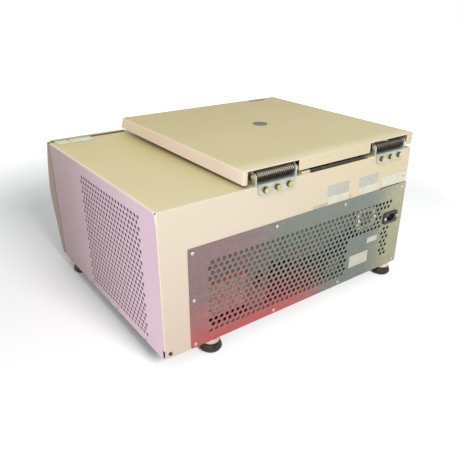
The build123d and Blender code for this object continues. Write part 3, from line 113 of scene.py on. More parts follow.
glow_reach = (0.85, 1.9)
glow_strength = (0.09, 0.9)
paper = bpy.data.materials.new("backdrop_paper")
paper.use_nodes = True
paper_tree = paper.node_tree
paper_tree.nodes.clear()
matt = node(paper_tree, "BsdfDiffuse", Color=(0.80, 0.80, 0.80, 1))
spread = node(paper_tree, "VectorMath", Vector=node(paper_tree, "TexCoord").outputs["Object"])
spread.operation = "LENGTH"
far_off = node(paper_tree, "MapRange", Value=spread.outputs["Value"],
               From_Min=glow_reach[0], From_Max=glow_reach[1],
               To_Min=glow_strength[0], To_Max=glow_strength[1])
glow = node(paper_tree, "Emission", Color=(1, 1, 1, 1), Strength=far_off.outputs["Result"])
glow_seen = node(paper_tree, "MixShader", Fac=seen_directly(paper_tree))
paper_tree.links.new(glow.outputs[0], glow_seen.inputs[2])
both = node(paper_tree, "AddShader")
paper_tree.links.new(matt.outputs[0], both.inputs[0])
paper_tree.links.new(glow_seen.outputs[0], both.inputs[1])
paper_out = node(paper_tree, "OutputMaterial")
paper_tree.links.new(both.outputs[0], paper_out.inputs["Surface"])
floor_mesh.materials.append(paper)


lamp_aim = Vector((0, 0, 0.15))


def soft_lamp(name, place, size, watts, floor_state):
    """A round area lamp aimed at the housing, kept to the floor alone or kept off it."""
    lamp = bpy.data.lights.new(name, "AREA")
    lamp.shape = "DISK"
    lamp.size = size
    lamp.energy = watts
    holder = bpy.data.objects.new(name, lamp)
    holder.location = place
    toward = lamp_aim - Vector(place)
    holder.rotation_euler = toward.to_track_quat("-Z", "Y").to_euler()
    scene.collection.objects.link(holder)
    reach = bpy.data.collections.new(name + "_reach")
    reach.objects.link(studio_floor)
    reach.collection_objects[0].light_linking.link_state = floor_state
    holder.light_linking.receiver_collection = reach


soft_lamp("floor_lamp", (0.1, 3.0, 1.85), 1.4, 150, "INCLUDE")
soft_lamp("front_lamp", (1.8, 1.95, 2.75), 2.2, 66, "EXCLUDE")


# Enamelled sheet steel: the folded cover and the two side panels. Mild steel, powder-coated in
# a warm off-white that has yellowed on top and faded on the side, with painted highlights along
# the folds and painted shade toward the front of the right side.
top_start = (0.298, 0.304)
rear_start = (0.262, 0.266)
panel_skin = (0.3183, 0.3186)
punched_height = (0.042, 0.292)
top_olive = ((215, 199, 136), (223, 210, 163), (224, 211, 168))
rear_cream = ((223, 203, 186), (225, 212, 190), (221, 205, 170))
right_lilac = ((156, 130, 134), (225, 195, 211))


def rgb(red, green, blue):
    """A colour from its sRGB bytes, as the linear values that a shader takes."""
    def linear(byte):
        part = byte / 255
        return part / 12.92 if part <= 0.04045 else ((part + 0.055) / 1.055) ** 2.4
    return (linear(red), linear(green), linear(blue), 1)


def new_finish(name, **constants):
    """A material with one Principled shader whose constants sit on its own sockets."""
    material = bpy.data.materials.new(name)
    material.use_nodes = True
    surface = material.node_tree.nodes["Principled BSDF"]
    for key, value in constants.items():
        surface.inputs[key.replace("_", " ")].default_value = value
    return material, material.node_tree, surface


def dress(material, *names):
    """Gives CAD nodes their finish."""
    for name in names:
        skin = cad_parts[name].data.materials
        skin.clear()
        skin.append(material)


def place_on_part(tree):
    """Position on the part itself, in metres, which travels with it."""
    return node(tree, "TexCoord").outputs["Object"]


def spot_on_part(tree):
    """The same position as its X, Y and Z."""
    return node(tree, "SeparateXYZ", Vector=place_on_part(tree)).outputs


def facing(tree):
    """The part's own X, Y and Z share of each face's direction."""
    return node(tree, "SeparateXYZ", Vector=node(tree, "TexCoord").outputs["Normal"]).outputs


def step(tree, value, low, high):
    """Rises smoothly from 0 at low to 1 at high, or falls where high is the lesser."""
    made = node(tree, "MapRange", Value=value, From_Min=low, From_Max=high)
    made.interpolation_type = "SMOOTHSTEP"
    return made.outputs["Result"]


def times(tree, first, second):
    return arithmetic(tree, "MULTIPLY", first, second)


def strip(tree, value, low, high, ease):
    """1 between low and high, fading over ease at each end."""
    return times(tree, step(tree, value, low, low + ease), step(tree, value, high, high - ease))


def blend_colour(tree, share, first, second, how="MIX"):
    made = node(tree, "MixRGB", Fac=share, Color1=first, Color2=second)
    made.blend_type = how
    return made.outputs[0]


def stain(tree, tone, where, amount, colour):
    """Takes tone part of the way to colour, where the mask is 1."""
    return blend_colour(tree, where, tone, blend_colour(tree, amount, tone, colour))


def paint(tree, surface, tone):
    tree.links.new(tone, surface.inputs["Base Color"])


def cloud(tree, size, detail, stretch=None):
    """Soft noise with features about size metres across."""
    spot = place_on_part(tree)
    if stretch:
        spot = node(tree, "Mapping", Vector=spot, Scale=stretch).outputs[0]
    return node(tree, "TexNoise", Vector=spot, Scale=1 / size, Detail=detail).outputs["Fac"]


def patches(tree, size, detail, low, high, stretch=None):
    """The same noise made into soft-edged patches: 0 under low, 1 over high."""
    return step(tree, cloud(tree, size, detail, stretch), low, high)


def mottled_roughness(tree, surface, size, detail, low, high):
    drift = node(tree, "MapRange", Value=cloud(tree, size, detail), To_Min=low, To_Max=high)
    tree.links.new(drift.outputs["Result"], surface.inputs["Roughness"])


def relief(tree, surface, height, depth, strength):
    """Bump of a given depth in metres."""
    made = node(tree, "Bump", Height=height, Distance=depth, Strength=strength)
    tree.links.new(made.outputs[0], surface.inputs["Normal"])


def along_edges(tree, width, full=0.90):
    """1 on edges and folds narrower than width, from the lean of a rounded normal."""
    rounded = node(tree, "Bevel", Radius=width)
    rounded.samples = 4
    true = node(tree, "NewGeometry").outputs["Normal"]
    lean = node(tree, "VectorMath")
    lean.operation = "DOT_PRODUCT"
    tree.links.new(rounded.outputs[0], lean.inputs[0])
    tree.links.new(true, lean.inputs[1])
    return step(tree, lean.outputs["Value"], 0.985, full)


def enamel(name, top, rear, right, fold_highlight, grime, dark_patch):
    """Powder coat with painted fold highlights, hole rims dark with dust and painted shade, orange
    peel, handling marks and dust.

    top and rear hold three tones and right two. dark_patch is the (x0, x1, y0, y1) of a dark
    strip on the level face.
    """
    top, rear, right = ([rgb(*tone) for tone in tones] for tones in (top, rear, right))
    material, tree, surface = new_finish(name, Specular_IOR_Level=0.42)
    way, spot = facing(tree), spot_on_part(tree)
    square_on = (0.45, 0.95)
    high = step(tree, spot["Z"], *top_start)
    up = times(tree, step(tree, way["Z"], *square_on), high)
    rearmost = larger(tree, step(tree, spot["Y"], *rear_start),
                      step(tree, spot["X"], *reversed(panel_skin)))
    back = times(tree, step(tree, way["Y"], *square_on), rearmost)
    rightward = larger(tree, step(tree, way["X"], 0.3, 0.8), step(tree, spot["X"], *panel_skin))

    # On the right side the front tone is darker: painted shade.
    nearness = step(tree, spot["Y"], -0.25, 0.27)
    tone = blend_colour(tree, rightward, rear[1], blend_colour(tree, nearness, *right))
    climb = blend_colour(tree, step(tree, spot["Z"], 0.03, 0.30), *rear[:2])
    yellowed = blend_colour(tree, step(tree, spot["X"], 0.16, -0.24), climb, rear[2])
    # Painted highlight along the rear strip's vertical fold.
    pale_end_highlight = times(tree, step(tree, spot["X"], 0.3160, 0.3175), 0.6)
    tone = blend_colour(tree, back, tone, blend_colour(tree, pale_end_highlight, yellowed, fold_highlight))
    level = blend_colour(tree, nearness, *top[:2])
    level = blend_colour(tree, step(tree, spot["Y"], 0.232, 0.268), level, top[2])
    tone = blend_colour(tree, up, tone, level)

    # Painted highlight along the folds of the top.
    edges = along_edges(tree, 0.0026, 0.95)
    tone = blend_colour(tree, times(tree, edges, high), tone, fold_highlight)
    # Hole rims on the punched side are darkened with dust and with painted shade.
    punched = times(tree, strip(tree, spot["Z"], *punched_height, 0.002),
                    step(tree, spot["X"], 0.3180, 0.3184))
    tone = blend_colour(tree, times(tree, edges, punched), tone, hole_rim_dust_and_shade)
    tone = stain(tree, tone, patches(tree, 0.16, 4.0, 0.30, 0.75), grime, rgb(186, 166, 128))
    x0, x1, y0, y1 = dark_patch
    inside = times(tree, strip(tree, spot["X"], x0, x1, 0.0005),
                   strip(tree, spot["Y"], y0, y1, 0.0005))
    tone = blend_colour(tree, times(tree, inside, up), tone, rgb(88, 84, 54))
    marks = times(tree, patches(tree, 0.011, 6.0, 0.66, 0.74, (1, 1, 5)), 0.10)
    paint(tree, surface, blend_colour(tree, marks, tone, rgb(140, 124, 100)))
    mottled_roughness(tree, surface, 0.03, 5.0, 0.36, 0.52)
    relief(tree, surface, cloud(tree, 0.0011, 2.0), 0.00003, 0.5)
    return material


hole_rim_dust_and_shade = rgb(98, 74, 82)
fold_highlight_cream = rgb(255, 240, 228)
slot_shade = (-0.177, -0.013, 0.2670, 0.2730)
housing_enamel = enamel("housing_enamel", top_olive, rear_cream, right_lilac, fold_highlight_cream, 0.10,
                        slot_shade)
dress(housing_enamel, "housing_cover", "right_side_panel", "left_side_panel")


# Zinc-coated sheet: the base pan, the front bulkhead and the perforated plate on the rear. That
# plate is punched and screwed over the opening; its bands of plum, slate and khaki are painted
# reflections.
plum, rose, crimson = rgb(138, 114, 114), rgb(166, 110, 108), rgb(188, 94, 92)
slate, khaki = rgb(123, 130, 122), rgb(168, 165, 136)


def spangle(tree):
    """Crystal facets of hot-dip zinc, as slight light and dark patches."""
    facets = node(tree, "TexVoronoi", Vector=place_on_part(tree), Scale=210.0, Randomness=1.0)
    return node(tree, "RGBToBW", Color=facets.outputs["Color"]).outputs[0]


def plain_zinc(tree):
    return blend_colour(tree, patches(tree, 0.09, 3.0, 0.3, 0.7), rgb(150, 148, 142),
                        rgb(172, 170, 164))


def reflection_tinted_plate(tree):
    """Painted reflections: plum at the right end, slate in the middle, khaki at the left, crimson
    along the foot.
    """
    spot = spot_on_part(tree)
    sway = arithmetic(tree, "MULTIPLY_ADD", cloud(tree, 0.09, 2.0), 0.05, spot["X"])
    tone = blend_colour(tree, step(tree, sway, 0.02, 0.21), slate, plum)
    tone = blend_colour(tree, step(tree, sway, -0.17, -0.27), tone, khaki)
    reach = step(tree, spot["X"], -0.115, 0.06)
    for colour, begins, full in ((rose, 0.150, 0.060), (crimson, 0.080, 0.030)):
        foot = times(tree, step(tree, spot["Z"], begins, full), reach)
        tone = blend_colour(tree, foot, tone, colour)
    return tone


def zinc_sheet(name, tone_of):
    material, tree, surface = new_finish(name, Metallic=0.55, Specular_IOR_Level=0.5)
    tone = blend_colour(tree, 0.10, tone_of(tree), spangle(tree), "OVERLAY")
    rolled = cloud(tree, 0.006, 5.0, (0.25, 1, 1))
    paint(tree, surface, stain(tree, tone, step(tree, rolled, 0.35, 0.80), 0.12, rgb(70, 66, 62)))
    mottled_roughness(tree, surface, 0.02, 4.0, 0.34, 0.50)
    relief(tree, surface, rolled, 0.00004, 0.35)
    return material


chassis_zinc = zinc_sheet("chassis_zinc", plain_zinc)
dress(chassis_zinc, "base_pan", "front_bulkhead")
dress(zinc_sheet("grille_zinc", reflection_tinted_plate), "rear_grille")


# Screws of the rear plate, the fan and the inlet: bright zinc pan heads with a cross recess,
# 3.6 mm thread, driven into the folded edges. The screws in the base notches are dark.
def bright_metal(name, colour, worn, rough, metal=1.0):
    """Plated or turned metal with fine marks, dulled in its hollows."""
    material, tree, surface = new_finish(name, Metallic=metal)
    paint(tree, surface, blend_colour(tree, patches(tree, 0.004, 5.0, 0.35, 0.70), colour, worn))
    mottled_roughness(tree, surface, 0.0015, 4.0, rough - 0.07, rough + 0.10)
    relief(tree, surface, cloud(tree, 0.0006, 3.0), 0.00002, 0.4)
    return material


screw_zinc = bright_metal("screw_zinc", rgb(222, 220, 212), rgb(186, 182, 172), 0.26)
dress(screw_zinc, "rear_panel_screws")
dress(bright_metal("notch_screw_zinc", rgb(96, 90, 86), rgb(60, 56, 54), 0.45), "base_screws")


# Front fascia: one injection-moulded shell with a fine spark-eroded grain, clipped and screwed
# to the bulkhead. A raised brow runs along its top; painted shade darkens the brow's rear foot,
# the seam behind it and the fascia's right-facing end.
seam_shade_start = (-0.2303, -0.2300)
brow_foot_shade_right_end = (0.131, 0.134)


def grained_plastic(name, colour, shaded, rough=0.48, grain=0.0009, depth=0.00005):
    """Moulded plastic with a fine even grain and slightly greyer, handled patches."""
    material, tree, surface = new_finish(name, Specular_IOR_Level=0.4)
    paint(tree, surface, blend_colour(tree, patches(tree, 0.05, 4.0, 0.35, 0.75), colour, shaded))
    mottled_roughness(tree, surface, 0.012, 4.0, rough - 0.06, rough + 0.08)
    relief(tree, surface, cloud(tree, grain, 2.0), depth, 0.5)
    return material


def fascia_plastic():
    material, tree, surface = new_finish("fascia_plastic", Roughness=0.5, Specular_IOR_Level=0.38)
    way, spot = facing(tree), spot_on_part(tree)
    # The end facing right is darker: painted shade.
    tone = blend_colour(tree, step(tree, way["X"], 0.55, 0.95), rgb(206, 194, 166),
                        rgb(146, 125, 112))
    tone = blend_colour(tree, step(tree, way["Z"], 0.5, 0.95), tone, rgb(198, 182, 130))
    tone = stain(tree, tone, patches(tree, 0.07, 5.0, 0.40, 0.75), 0.12, rgb(120, 104, 80))
    # Painted shade along the brow's rear foot.
    brow_foot_shade = times(tree, step(tree, spot["Z"], 0.308, 0.3085),
                      step(tree, spot["Z"], 0.3128, 0.3120))
    brow_foot_shade = times(tree, brow_foot_shade, step(tree, spot["Y"], -0.2362, -0.2356))
    brow_foot_shade = times(tree, brow_foot_shade, step(tree, spot["X"], *brow_foot_shade_right_end))
    tone = blend_colour(tree, brow_foot_shade, tone, rgb(112, 92, 66))
    paint(tree, surface, blend_colour(tree, step(tree, spot["Y"], *seam_shade_start), tone,
                                      rgb(72, 54, 44)))
    relief(tree, surface, cloud(tree, 0.0009, 2.0), 0.00005, 0.5)
    return material


dress(fascia_plastic(), "front_fascia")


# Control panel: a printed foil over the facet of the fascia, a dark display pane, four keys and
# two knobs; a narrow mint pane of the same foil lies on the top shelf, cut to a slant, with a
# painted highlight across it.
pane_slit = (0.2742, 0.2778)
pane_slant = 0.663
mint_highlight_bands = (((0.258, 0.244), (190, 224, 202)), ((0.234, 0.226), (156, 186, 156)))


def panel_foil():
    material, tree, surface = new_finish("panel_foil", Roughness=0.22, Specular_IOR_Level=0.5,
                                         Coat_Weight=0.4, Coat_Roughness=0.12)
    up, spot = step(tree, facing(tree)["Z"], 0.7, 0.95), spot_on_part(tree)
    mint = blend_colour(tree, step(tree, spot["X"], 0.272, 0.280), rgb(202, 204, 160),
                        rgb(182, 202, 162))
    for ends, colour in mint_highlight_bands:
        mint = blend_colour(tree, step(tree, spot["X"], *ends), mint, rgb(*colour))
    mint = blend_colour(tree, strip(tree, spot["X"], *pane_slit, 0.0008), mint, rgb(92, 82, 60))
    taper = arithmetic(tree, "MULTIPLY_ADD", spot["X"], pane_slant, spot["Y"])
    before = times(tree, step(tree, taper, -0.0660, -0.0672),
                   step(tree, spot["X"], 0.2535, 0.2525))
    behind = times(tree, step(tree, spot["Y"], -0.2068, -0.2058),
                   step(tree, spot["X"], 0.2530, 0.2550))
    mint = blend_colour(tree, larger(tree, before, behind), mint, rgb(*top_olive[0]))
    tone = blend_colour(tree, up, rgb(176, 190, 178), mint)
    paint(tree, surface, stain(tree, tone, patches(tree, 0.03, 3.0, 0.3, 0.7), 0.08,
                               rgb(120, 140, 120)))
    return material


dress(panel_foil(), "control_panel")
smoked = grained_plastic("smoked_pane", rgb(26, 32, 30), rgb(20, 24, 24), 0.14, 0.004, 0.00001)
dress(smoked, "display_window")
key_grey = grained_plastic("key_grey", rgb(118, 124, 122), rgb(104, 110, 108), 0.42)
dress(key_grey, "short_spin_key", "open_key")
dress(grained_plastic("start_green", rgb(88, 138, 104), rgb(76, 124, 92), 0.42), "start_key")
dress(grained_plastic("stop_red", rgb(170, 70, 60), rgb(150, 60, 52), 0.42), "stop_key")
knob_grey = grained_plastic("knob_grey", rgb(74, 78, 80), rgb(60, 64, 66), 0.45)
dress(knob_grey, "speed_knob", "time_knob")


# Mains switch: a black moulded frame snapped into the fascia, with a black moulded rocker that
# tilts on two stub axles.
switch_black = grained_plastic("switch_black", rgb(30, 30, 32), rgb(40, 40, 42), 0.40)
dress(switch_black, "switch_frame", "mains_rocker")


# Lid: folded steel, enamelled like the housing but rosier on its skirts, with a round smoked eye
# in the middle and a stainless pan beneath. Its plated striker drops into a motor-turned hook.
lid_top = ((198, 181, 120), (214, 200, 146), (232, 220, 178))
lid_rear = ((222, 207, 174), (226, 212, 182), (216, 202, 166))
lid_right = ((240, 218, 198), (250, 230, 218))
# Painted highlight along the lid's folds.
lid_fold_highlight = rgb(248, 238, 212)
bare_plate_place = (-0.273, -0.219, -0.189, -0.178)
dress(enamel("lid_enamel", lid_top, lid_rear, lid_right, lid_fold_highlight, 0.12, bare_plate_place),
      "lid_shell")


def smoked_eye():
    material, tree, surface = new_finish("eye_glass", Roughness=0.22, Specular_IOR_Level=0.12,
                                         IOR=1.5)
    haze = patches(tree, 0.006, 3.0, 0.3, 0.7)
    paint(tree, surface, blend_colour(tree, haze, rgb(56, 56, 36), rgb(78, 76, 52)))
    return material


def brushed(name, colour, rough=0.30, along=(1, 0.04, 1)):
    """Brushed stainless sheet, its lines drawn out along one axis."""
    material, tree, surface = new_finish(name, Metallic=1.0)
    lines = cloud(tree, 0.0008, 4.0, along)
    paint(tree, surface, blend_colour(tree, times(tree, lines, 0.25), colour, rgb(110, 110, 108)))
    drag = node(tree, "MapRange", Value=lines, To_Min=rough - 0.08, To_Max=rough + 0.12)
    tree.links.new(drag.outputs["Result"], surface.inputs["Roughness"])
    relief(tree, surface, lines, 0.00002, 0.4)
    return material


dress(smoked_eye(), "sight_glass")
dress(brushed("liner_steel", rgb(196, 196, 192)), "lid_liner")
plated = bright_metal("plated_steel", rgb(190, 190, 186), rgb(150, 150, 148), 0.34)
dress(plated, "lid_striker", "latch_frame", "latch_hook")


# Hinges: two bent brackets bolted to the rear, lid leaves, axles with hexagon heads, and a
# torsion spring round each axle that carries most of the lid's weight.
spring_axis = (0, 0.264, 0.3265)
turn_crest = (0.0080, 0.0086)


def bracket_steel():
    material, tree, surface = new_finish("bracket_steel", Metallic=0.5, Roughness=0.42)
    cold = patches(tree, 0.012, 4.0, 0.35, 0.7)
    tone = blend_colour(tree, cold, rgb(194, 198, 184), rgb(172, 178, 166))
    edge = times(tree, along_edges(tree, 0.0006), 0.6)
    paint(tree, surface, blend_colour(tree, edge, tone, rgb(214, 212, 202)))
    relief(tree, surface, cloud(tree, 0.0008, 3.0), 0.00003, 0.5)
    return material


def passivated_zinc():
    """Yellow-passivated plating, with painted shade under the heads and along their sides."""
    material, tree, surface = new_finish("yellow_passivated", Metallic=0.75, Roughness=0.30)
    way = facing(tree)
    worn = patches(tree, 0.003, 5.0, 0.35, 0.70)
    tone = blend_colour(tree, worn, rgb(206, 194, 146), rgb(146, 130, 86))
    side = larger(tree, step(tree, way["Z"], -0.2, -0.8), step(tree, way["Y"], 0.9, 0.4))
    paint(tree, surface, blend_colour(tree, side, tone, rgb(96, 74, 40)))
    relief(tree, surface, cloud(tree, 0.0006, 3.0), 0.00002, 0.4)
    return material


def spring_steel():
    """A painted highlight on the top of each turn over dark oiled wire, fainter on the left spring.
    """
    material, tree, surface = new_finish("oiled_spring", Metallic=0.6, Roughness=0.40)
    spot = spot_on_part(tree)
    across = node(tree, "CombineXYZ", Y=spot["Y"], Z=spot["Z"]).outputs[0]
    reach = node(tree, "VectorMath", Vector=across)
    reach.operation = "DISTANCE"
    reach.inputs[1].default_value = spring_axis
    crest = times(tree, step(tree, facing(tree)["Z"], 0.05, 0.45),
                  step(tree, reach.outputs["Value"], *turn_crest))
    highlight_share = node(tree, "MapRange", Value=spot["X"], From_Min=-0.10, From_Max=0.0, To_Min=0.4,
                 To_Max=1.0).outputs["Result"]
    paint(tree, surface, blend_colour(tree, times(tree, crest, highlight_share), rgb(58, 49, 40),
                                      rgb(236, 224, 206)))
    relief(tree, surface, cloud(tree, 0.0008, 3.0), 0.00002, 0.4)
    return material


dress(bracket_steel(), "right_hinge_bracket", "left_hinge_bracket", "lid_hinge_arms")
dress(passivated_zinc(), "hinge_bolts", "hinge_axles")
dress(spring_steel(), "hinge_springs")


# Seals: an extruded rubber strip stuck to the cover under the lid's rear edge, and the moulded
# rubber lip pressed on round the chamber's mouth.
strip_paint_edge = (-0.0150, -0.0120)


def rubber(name, colour, dusty, rough=0.62):
    material, tree, surface = new_finish(name, Specular_IOR_Level=0.35)
    paint(tree, surface, blend_colour(tree, patches(tree, 0.01, 5.0, 0.45, 0.75), colour, dusty))
    mottled_roughness(tree, surface, 0.004, 4.0, rough - 0.12, rough + 0.12)
    relief(tree, surface, cloud(tree, 0.0010, 3.0), 0.00006, 0.5)
    return material


def strip_rubber():
    """The same rubber, painted over with the lid's enamel at its right end."""
    material, tree, surface = new_finish("strip_rubber", Roughness=0.6, Specular_IOR_Level=0.3)
    dust = patches(tree, 0.01, 5.0, 0.45, 0.75)
    tone = blend_colour(tree, dust, rgb(62, 58, 48), rgb(88, 84, 70))
    painted = step(tree, spot_on_part(tree)["X"], *strip_paint_edge)
    paint(tree, surface, blend_colour(tree, painted, tone, rgb(*lid_rear[1])))
    return material


seal_rubber = rubber("seal_rubber", rgb(56, 52, 44), rgb(78, 74, 62))
dress(seal_rubber, "chamber_gasket")
dress(strip_rubber(), "rear_seal_strip")


# Chamber: a spun stainless bowl with copper cooling tube wound round it, set in a cast foam tub
# inside a thick zinc-coated steel ring that stands on four feet on the base pan.
def cast_foam():
    material, tree, surface = new_finish("cast_foam", Roughness=0.85, Specular_IOR_Level=0.2)
    cells = node(tree, "TexVoronoi", Vector=place_on_part(tree), Scale=420.0).outputs["Distance"]
    paint(tree, surface, blend_colour(tree, cells, rgb(222, 206, 160), rgb(196, 176, 124)))
    relief(tree, surface, cells, 0.0004, 0.5)
    return material


dress(brushed("bowl_steel", rgb(200, 200, 198), 0.26, (0.04, 0.04, 1)), "chamber_bowl")
dress(cast_foam(), "chamber_insulation")
copper = bright_metal("drawn_copper", rgb(196, 120, 86), rgb(140, 82, 60), 0.32)
dress(copper, "evaporator_coil")
dress(chassis_zinc, "armour_ring")


# Drive: a black brushless motor on rubber mounts, a steel shaft, and a cast, hard-anodised rotor
# held down by a plated nut, with two aluminium carriers that swing on its arms.
def black_enamel(name, colour, edge_colour):
    material, tree, surface = new_finish(name, Specular_IOR_Level=0.5)
    tone = blend_colour(tree, patches(tree, 0.02, 4.0, 0.35, 0.75), colour, rgb(58, 56, 54))
    edge = times(tree, along_edges(tree, 0.0008), 0.5)
    paint(tree, surface, blend_colour(tree, edge, tone, edge_colour))
    mottled_roughness(tree, surface, 0.01, 4.0, 0.30, 0.46)
    relief(tree, surface, cloud(tree, 0.0012, 2.0), 0.00004, 0.5)
    return material


machine_black = black_enamel("machine_black", rgb(34, 34, 36), rgb(84, 82, 80))
dress(machine_black, "drive_motor")
dress(seal_rubber, "rubber_mounts")
dress(brushed("shaft_steel", rgb(206, 206, 204), 0.22, (1, 1, 12)), "motor_shaft")
anodised = bright_metal("hard_anodised", rgb(96, 98, 102), rgb(76, 78, 84), 0.40, 0.85)
dress(anodised, "rotor_yoke")
dress(plated, "rotor_nut")
carrier_metal = bright_metal("carrier_aluminium", rgb(176, 180, 186), rgb(150, 154, 162), 0.34,
                             0.9)
dress(carrier_metal, "right_plate_carrier", "left_plate_carrier")


# Cooling bay: a condenser of pressed fins on copper bends behind the side holes, dark with dust
# and with painted shade, a stamped aluminium fan on a black motor in a zinc shroud, and a black
# welded compressor with brazed copper pipes.
mill_aluminium = bright_metal("mill_aluminium", rgb(186, 184, 182), rgb(150, 146, 142), 0.36)
dress(bright_metal("dusty_shaded_fins", rgb(56, 44, 50), rgb(36, 28, 32), 0.7, 0.0), "condenser_fins")
dress(copper, "condenser_bends", "refrigerant_pipes")
dress(mill_aluminium, "condenser_fan")
dress(machine_black, "fan_motor", "compressor")
dress(chassis_zinc, "fan_shroud")


# Electronics behind the grille: a phenolic board with its parts, a small moulded cooling fan,
# and the mains inlet with three flat nickelled pins.
orange_band_start = (0.131, 0.133)


def phenolic():
    """Pale tinned and orange patches, and an orange band along the board's top."""
    material, tree, surface = new_finish("phenolic_board", Roughness=0.42, Specular_IOR_Level=0.5)
    fibre = cloud(tree, 0.004, 5.0, (1, 1, 0.2))
    solder = patches(tree, 0.009, 2.0, 0.44, 0.56)
    tone = blend_colour(tree, solder, rgb(250, 188, 150), rgb(252, 238, 220))
    band = step(tree, spot_on_part(tree)["Z"], *orange_band_start)
    tone = blend_colour(tree, band, tone, rgb(238, 124, 44))
    paint(tree, surface, blend_colour(tree, times(tree, fibre, 0.2), tone, rgb(170, 108, 76)))
    relief(tree, surface, fibre, 0.00003, 0.3)
    return material


dress(phenolic(), "power_board")
part_black = grained_plastic("part_black", rgb(46, 44, 46), rgb(70, 64, 60), 0.36)
dress(part_black, "board_components")
fan_tan = grained_plastic("fan_tan", rgb(206, 196, 156), rgb(184, 172, 132), 0.45)
dress(fan_tan, "rear_fan_frame", "rear_fan_wheel")
dress(grained_plastic("inlet_black", rgb(30, 31, 36), rgb(44, 44, 50), 0.34), "power_inlet")
dress(bright_metal("nickel_pins", rgb(206, 200, 188), rgb(170, 164, 150), 0.24), "inlet_pins")


# Wiring duct behind the upper holes: grey-green sheet, 0.8 mm, with a column down beside the
# board and a small bracket, hung from the rear plate by a folded lip. Sizes in millimetres.
rear_face = 272.0
duct_front, duct_back = 262.5, 263.3
sheet_ease = 0.0002
duct_edge = [(252, 199), (252, 150), (128, 150), (128, 42), (86, 42), (88, 58), (77, 87), (80, 110),
             (76, 131), (71, 142), (67, 149), (29, 149), (-7, 145), (-49, 138), (-76, 141),
             (-116, 150), (-145, 156), (-157, 162), (-157, 199)]
bracket_edge = [(-105, 98), (-133, 89), (-116, 58), (-77, 59)]


def prism_piece(name, outlines, front, back, ease, finish):
    """Outlines in X and Z, in millimetres, drawn out along Y and eased along their edges."""
    drawn = bmesh.new()
    for outline in outlines:
        face = drawn.faces.new([drawn.verts.new((x / 1000, front / 1000, z / 1000))
                                for x, z in outline])
        grown = bmesh.ops.extrude_face_region(drawn, geom=[face])["geom"]
        moved = [part for part in grown if isinstance(part, bmesh.types.BMVert)]
        bmesh.ops.translate(drawn, vec=(0, (back - front) / 1000, 0), verts=moved)
    bmesh.ops.recalc_face_normals(drawn, faces=drawn.faces)
    mesh = bpy.data.meshes.new(name)
    drawn.to_mesh(mesh)
    drawn.free()
    mesh.materials.append(finish)
    piece = bpy.data.objects.new(name, mesh)
    scene.collection.objects.link(piece)
    eased = piece.modifiers.new("eased", "BEVEL")
    eased.width = ease
    eased.segments = 2
    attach(piece, "housing")


def rectangle(x0, x1, z0, z1):
    return [(x0, z0), (x1, z0), (x1, z1), (x0, z1)]


duct_green = grained_plastic("duct_green", rgb(168, 170, 146), rgb(140, 142, 122), 0.5)
prism_piece("duct_sheet", [duct_edge], duct_front, duct_back, sheet_ease, duct_green)
prism_piece("duct_lip", [rectangle(-157, 252, 198.2, 199)], duct_back, rear_face, sheet_ease,
            duct_green)
prism_piece("bay_bracket", [bracket_edge], duct_front, 263.5, sheet_ease, duct_green)


# Terminal blocks and small relays along the duct's lower edge: moulded plastic, each pushed
# through the sheet and standing just under 4 mm off it. Middles and half sizes in millimetres.
def terminals(name, spots, half_x, half_z, colour, shaded):
    finish = grained_plastic(name + "_plastic", rgb(*colour), rgb(*shaded), 0.4)
    outlines = [rectangle(x - half_x, x + half_x, z - half_z, z + half_z) for x, z in spots]
    prism_piece(name, outlines, 262.0, 267.0, 0.0006, finish)


terminals("orange_terminals", [(16.5, 148.6), (3.5, 149), (-7, 149), (-20, 148.5)], 4.5, 4,
          (236, 132, 60), (206, 104, 44))
terminals("olive_terminals", [(52, 150), (41, 150), (22.3, 139.6), (-39, 138.5), (-34.5, 127.5)],
          4.5, 4, (210, 196, 70), (170, 158, 60))
terminals("brown_terminals", [(17.7, 128), (3.2, 127), (-7.5, 126), (10.4, 117), (-1.5, 116.6)],
          4, 4, (170, 70, 56), (130, 54, 44))
terminals("small_relays", [(96, 122), (108, 118), (99, 108), (110, 106), (104, 128)], 4.2, 4.5,
          (30, 28, 28), (46, 42, 42))


# Labels: bare foil plates stuck on the rear, silver above and white below, with nothing on them,
# a bare corner sticker, a thin brown strip of painted shadow under the silver plate, and two orange
# dots.
silver_foot = 0.2500
left_end_x = -0.2240
sticker_ease = 0.00008


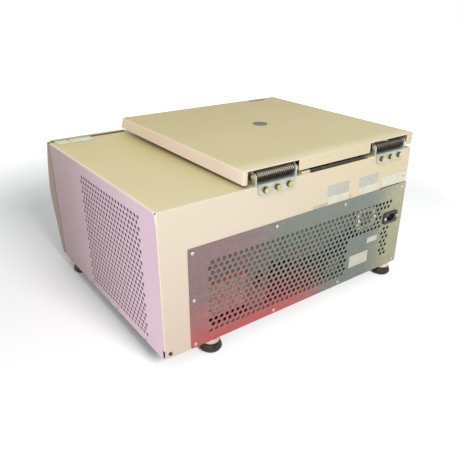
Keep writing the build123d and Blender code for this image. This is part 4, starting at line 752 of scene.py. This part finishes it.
def bare_foil():
    material, tree, surface = new_finish("bare_foil", Roughness=0.36, Specular_IOR_Level=0.5,
                                         Metallic=0.2)
    spot = spot_on_part(tree)
    silver = times(tree, step(tree, spot["Z"], silver_foot - 0.0015, silver_foot),
                   step(tree, spot["X"], left_end_x, left_end_x + 0.0010))
    tone = blend_colour(tree, silver, rgb(218, 213, 196), rgb(188, 188, 178))
    # Painted shadow along the foot of the silver plate.
    foot_shadow_line = times(tree, step(tree, spot["Z"], 0.2335, 0.2325),
                      step(tree, spot["X"], left_end_x, left_end_x - 0.0010))
    tone = blend_colour(tree, foot_shadow_line, tone, rgb(74, 66, 58))
    on_grille = step(tree, spot["Z"], 0.2260, 0.2240)
    tone = blend_colour(tree, on_grille, tone, rgb(206, 200, 182))
    corner = times(tree, step(tree, spot["X"], -0.0660, -0.0640),
                   step(tree, spot["Z"], 0.2405, 0.2395))
    tone = blend_colour(tree, corner, tone, rgb(188, 182, 164))
    paint(tree, surface, stain(tree, tone, patches(tree, 0.012, 4.0, 0.3, 0.7), 0.15,
                               rgb(120, 118, 108)))
    return material


def small_round(x, z, radius):
    corners = [math.tau * turn / 24 for turn in range(24)]
    return [(x + radius * math.cos(turn), z + radius * math.sin(turn)) for turn in corners]


dress(bare_foil(), "blank_labels")
sticker_cream = grained_plastic("sticker_cream", rgb(232, 216, 180), rgb(222, 204, 168), 0.4)
shadow_strip_brown = grained_plastic("shadow_strip_brown", rgb(96, 88, 76), rgb(82, 74, 64), 0.5)
sticker_orange = grained_plastic("sticker_orange", rgb(240, 176, 136), rgb(232, 164, 126), 0.4)
prism_piece("corner_sticker", [rectangle(-313.5, -299.5, 233, 256)], rear_face, 272.25,
            sticker_ease, sticker_cream)
prism_piece("label_shadow_strip", [rectangle(-293, -228, 231.3, 233.6)], rear_face, 272.5,
            sticker_ease, shadow_strip_brown)
prism_piece("dot_stickers", [small_round(-304.7, 247, 3.2), small_round(-132, 237, 3.6)],
            rear_face, 272.4, sticker_ease, sticker_orange)


# Feet: a pale moulded stem screwed to the pan at each corner, standing in a wide cup of black
# moulded rubber.
dress(grained_plastic("stem_white", rgb(232, 214, 200), rgb(210, 192, 178), 0.42), "foot_stems")
dress(rubber("foot_rubber", rgb(44, 36, 30), rgb(78, 62, 50), 0.50), "foot_rubbers")
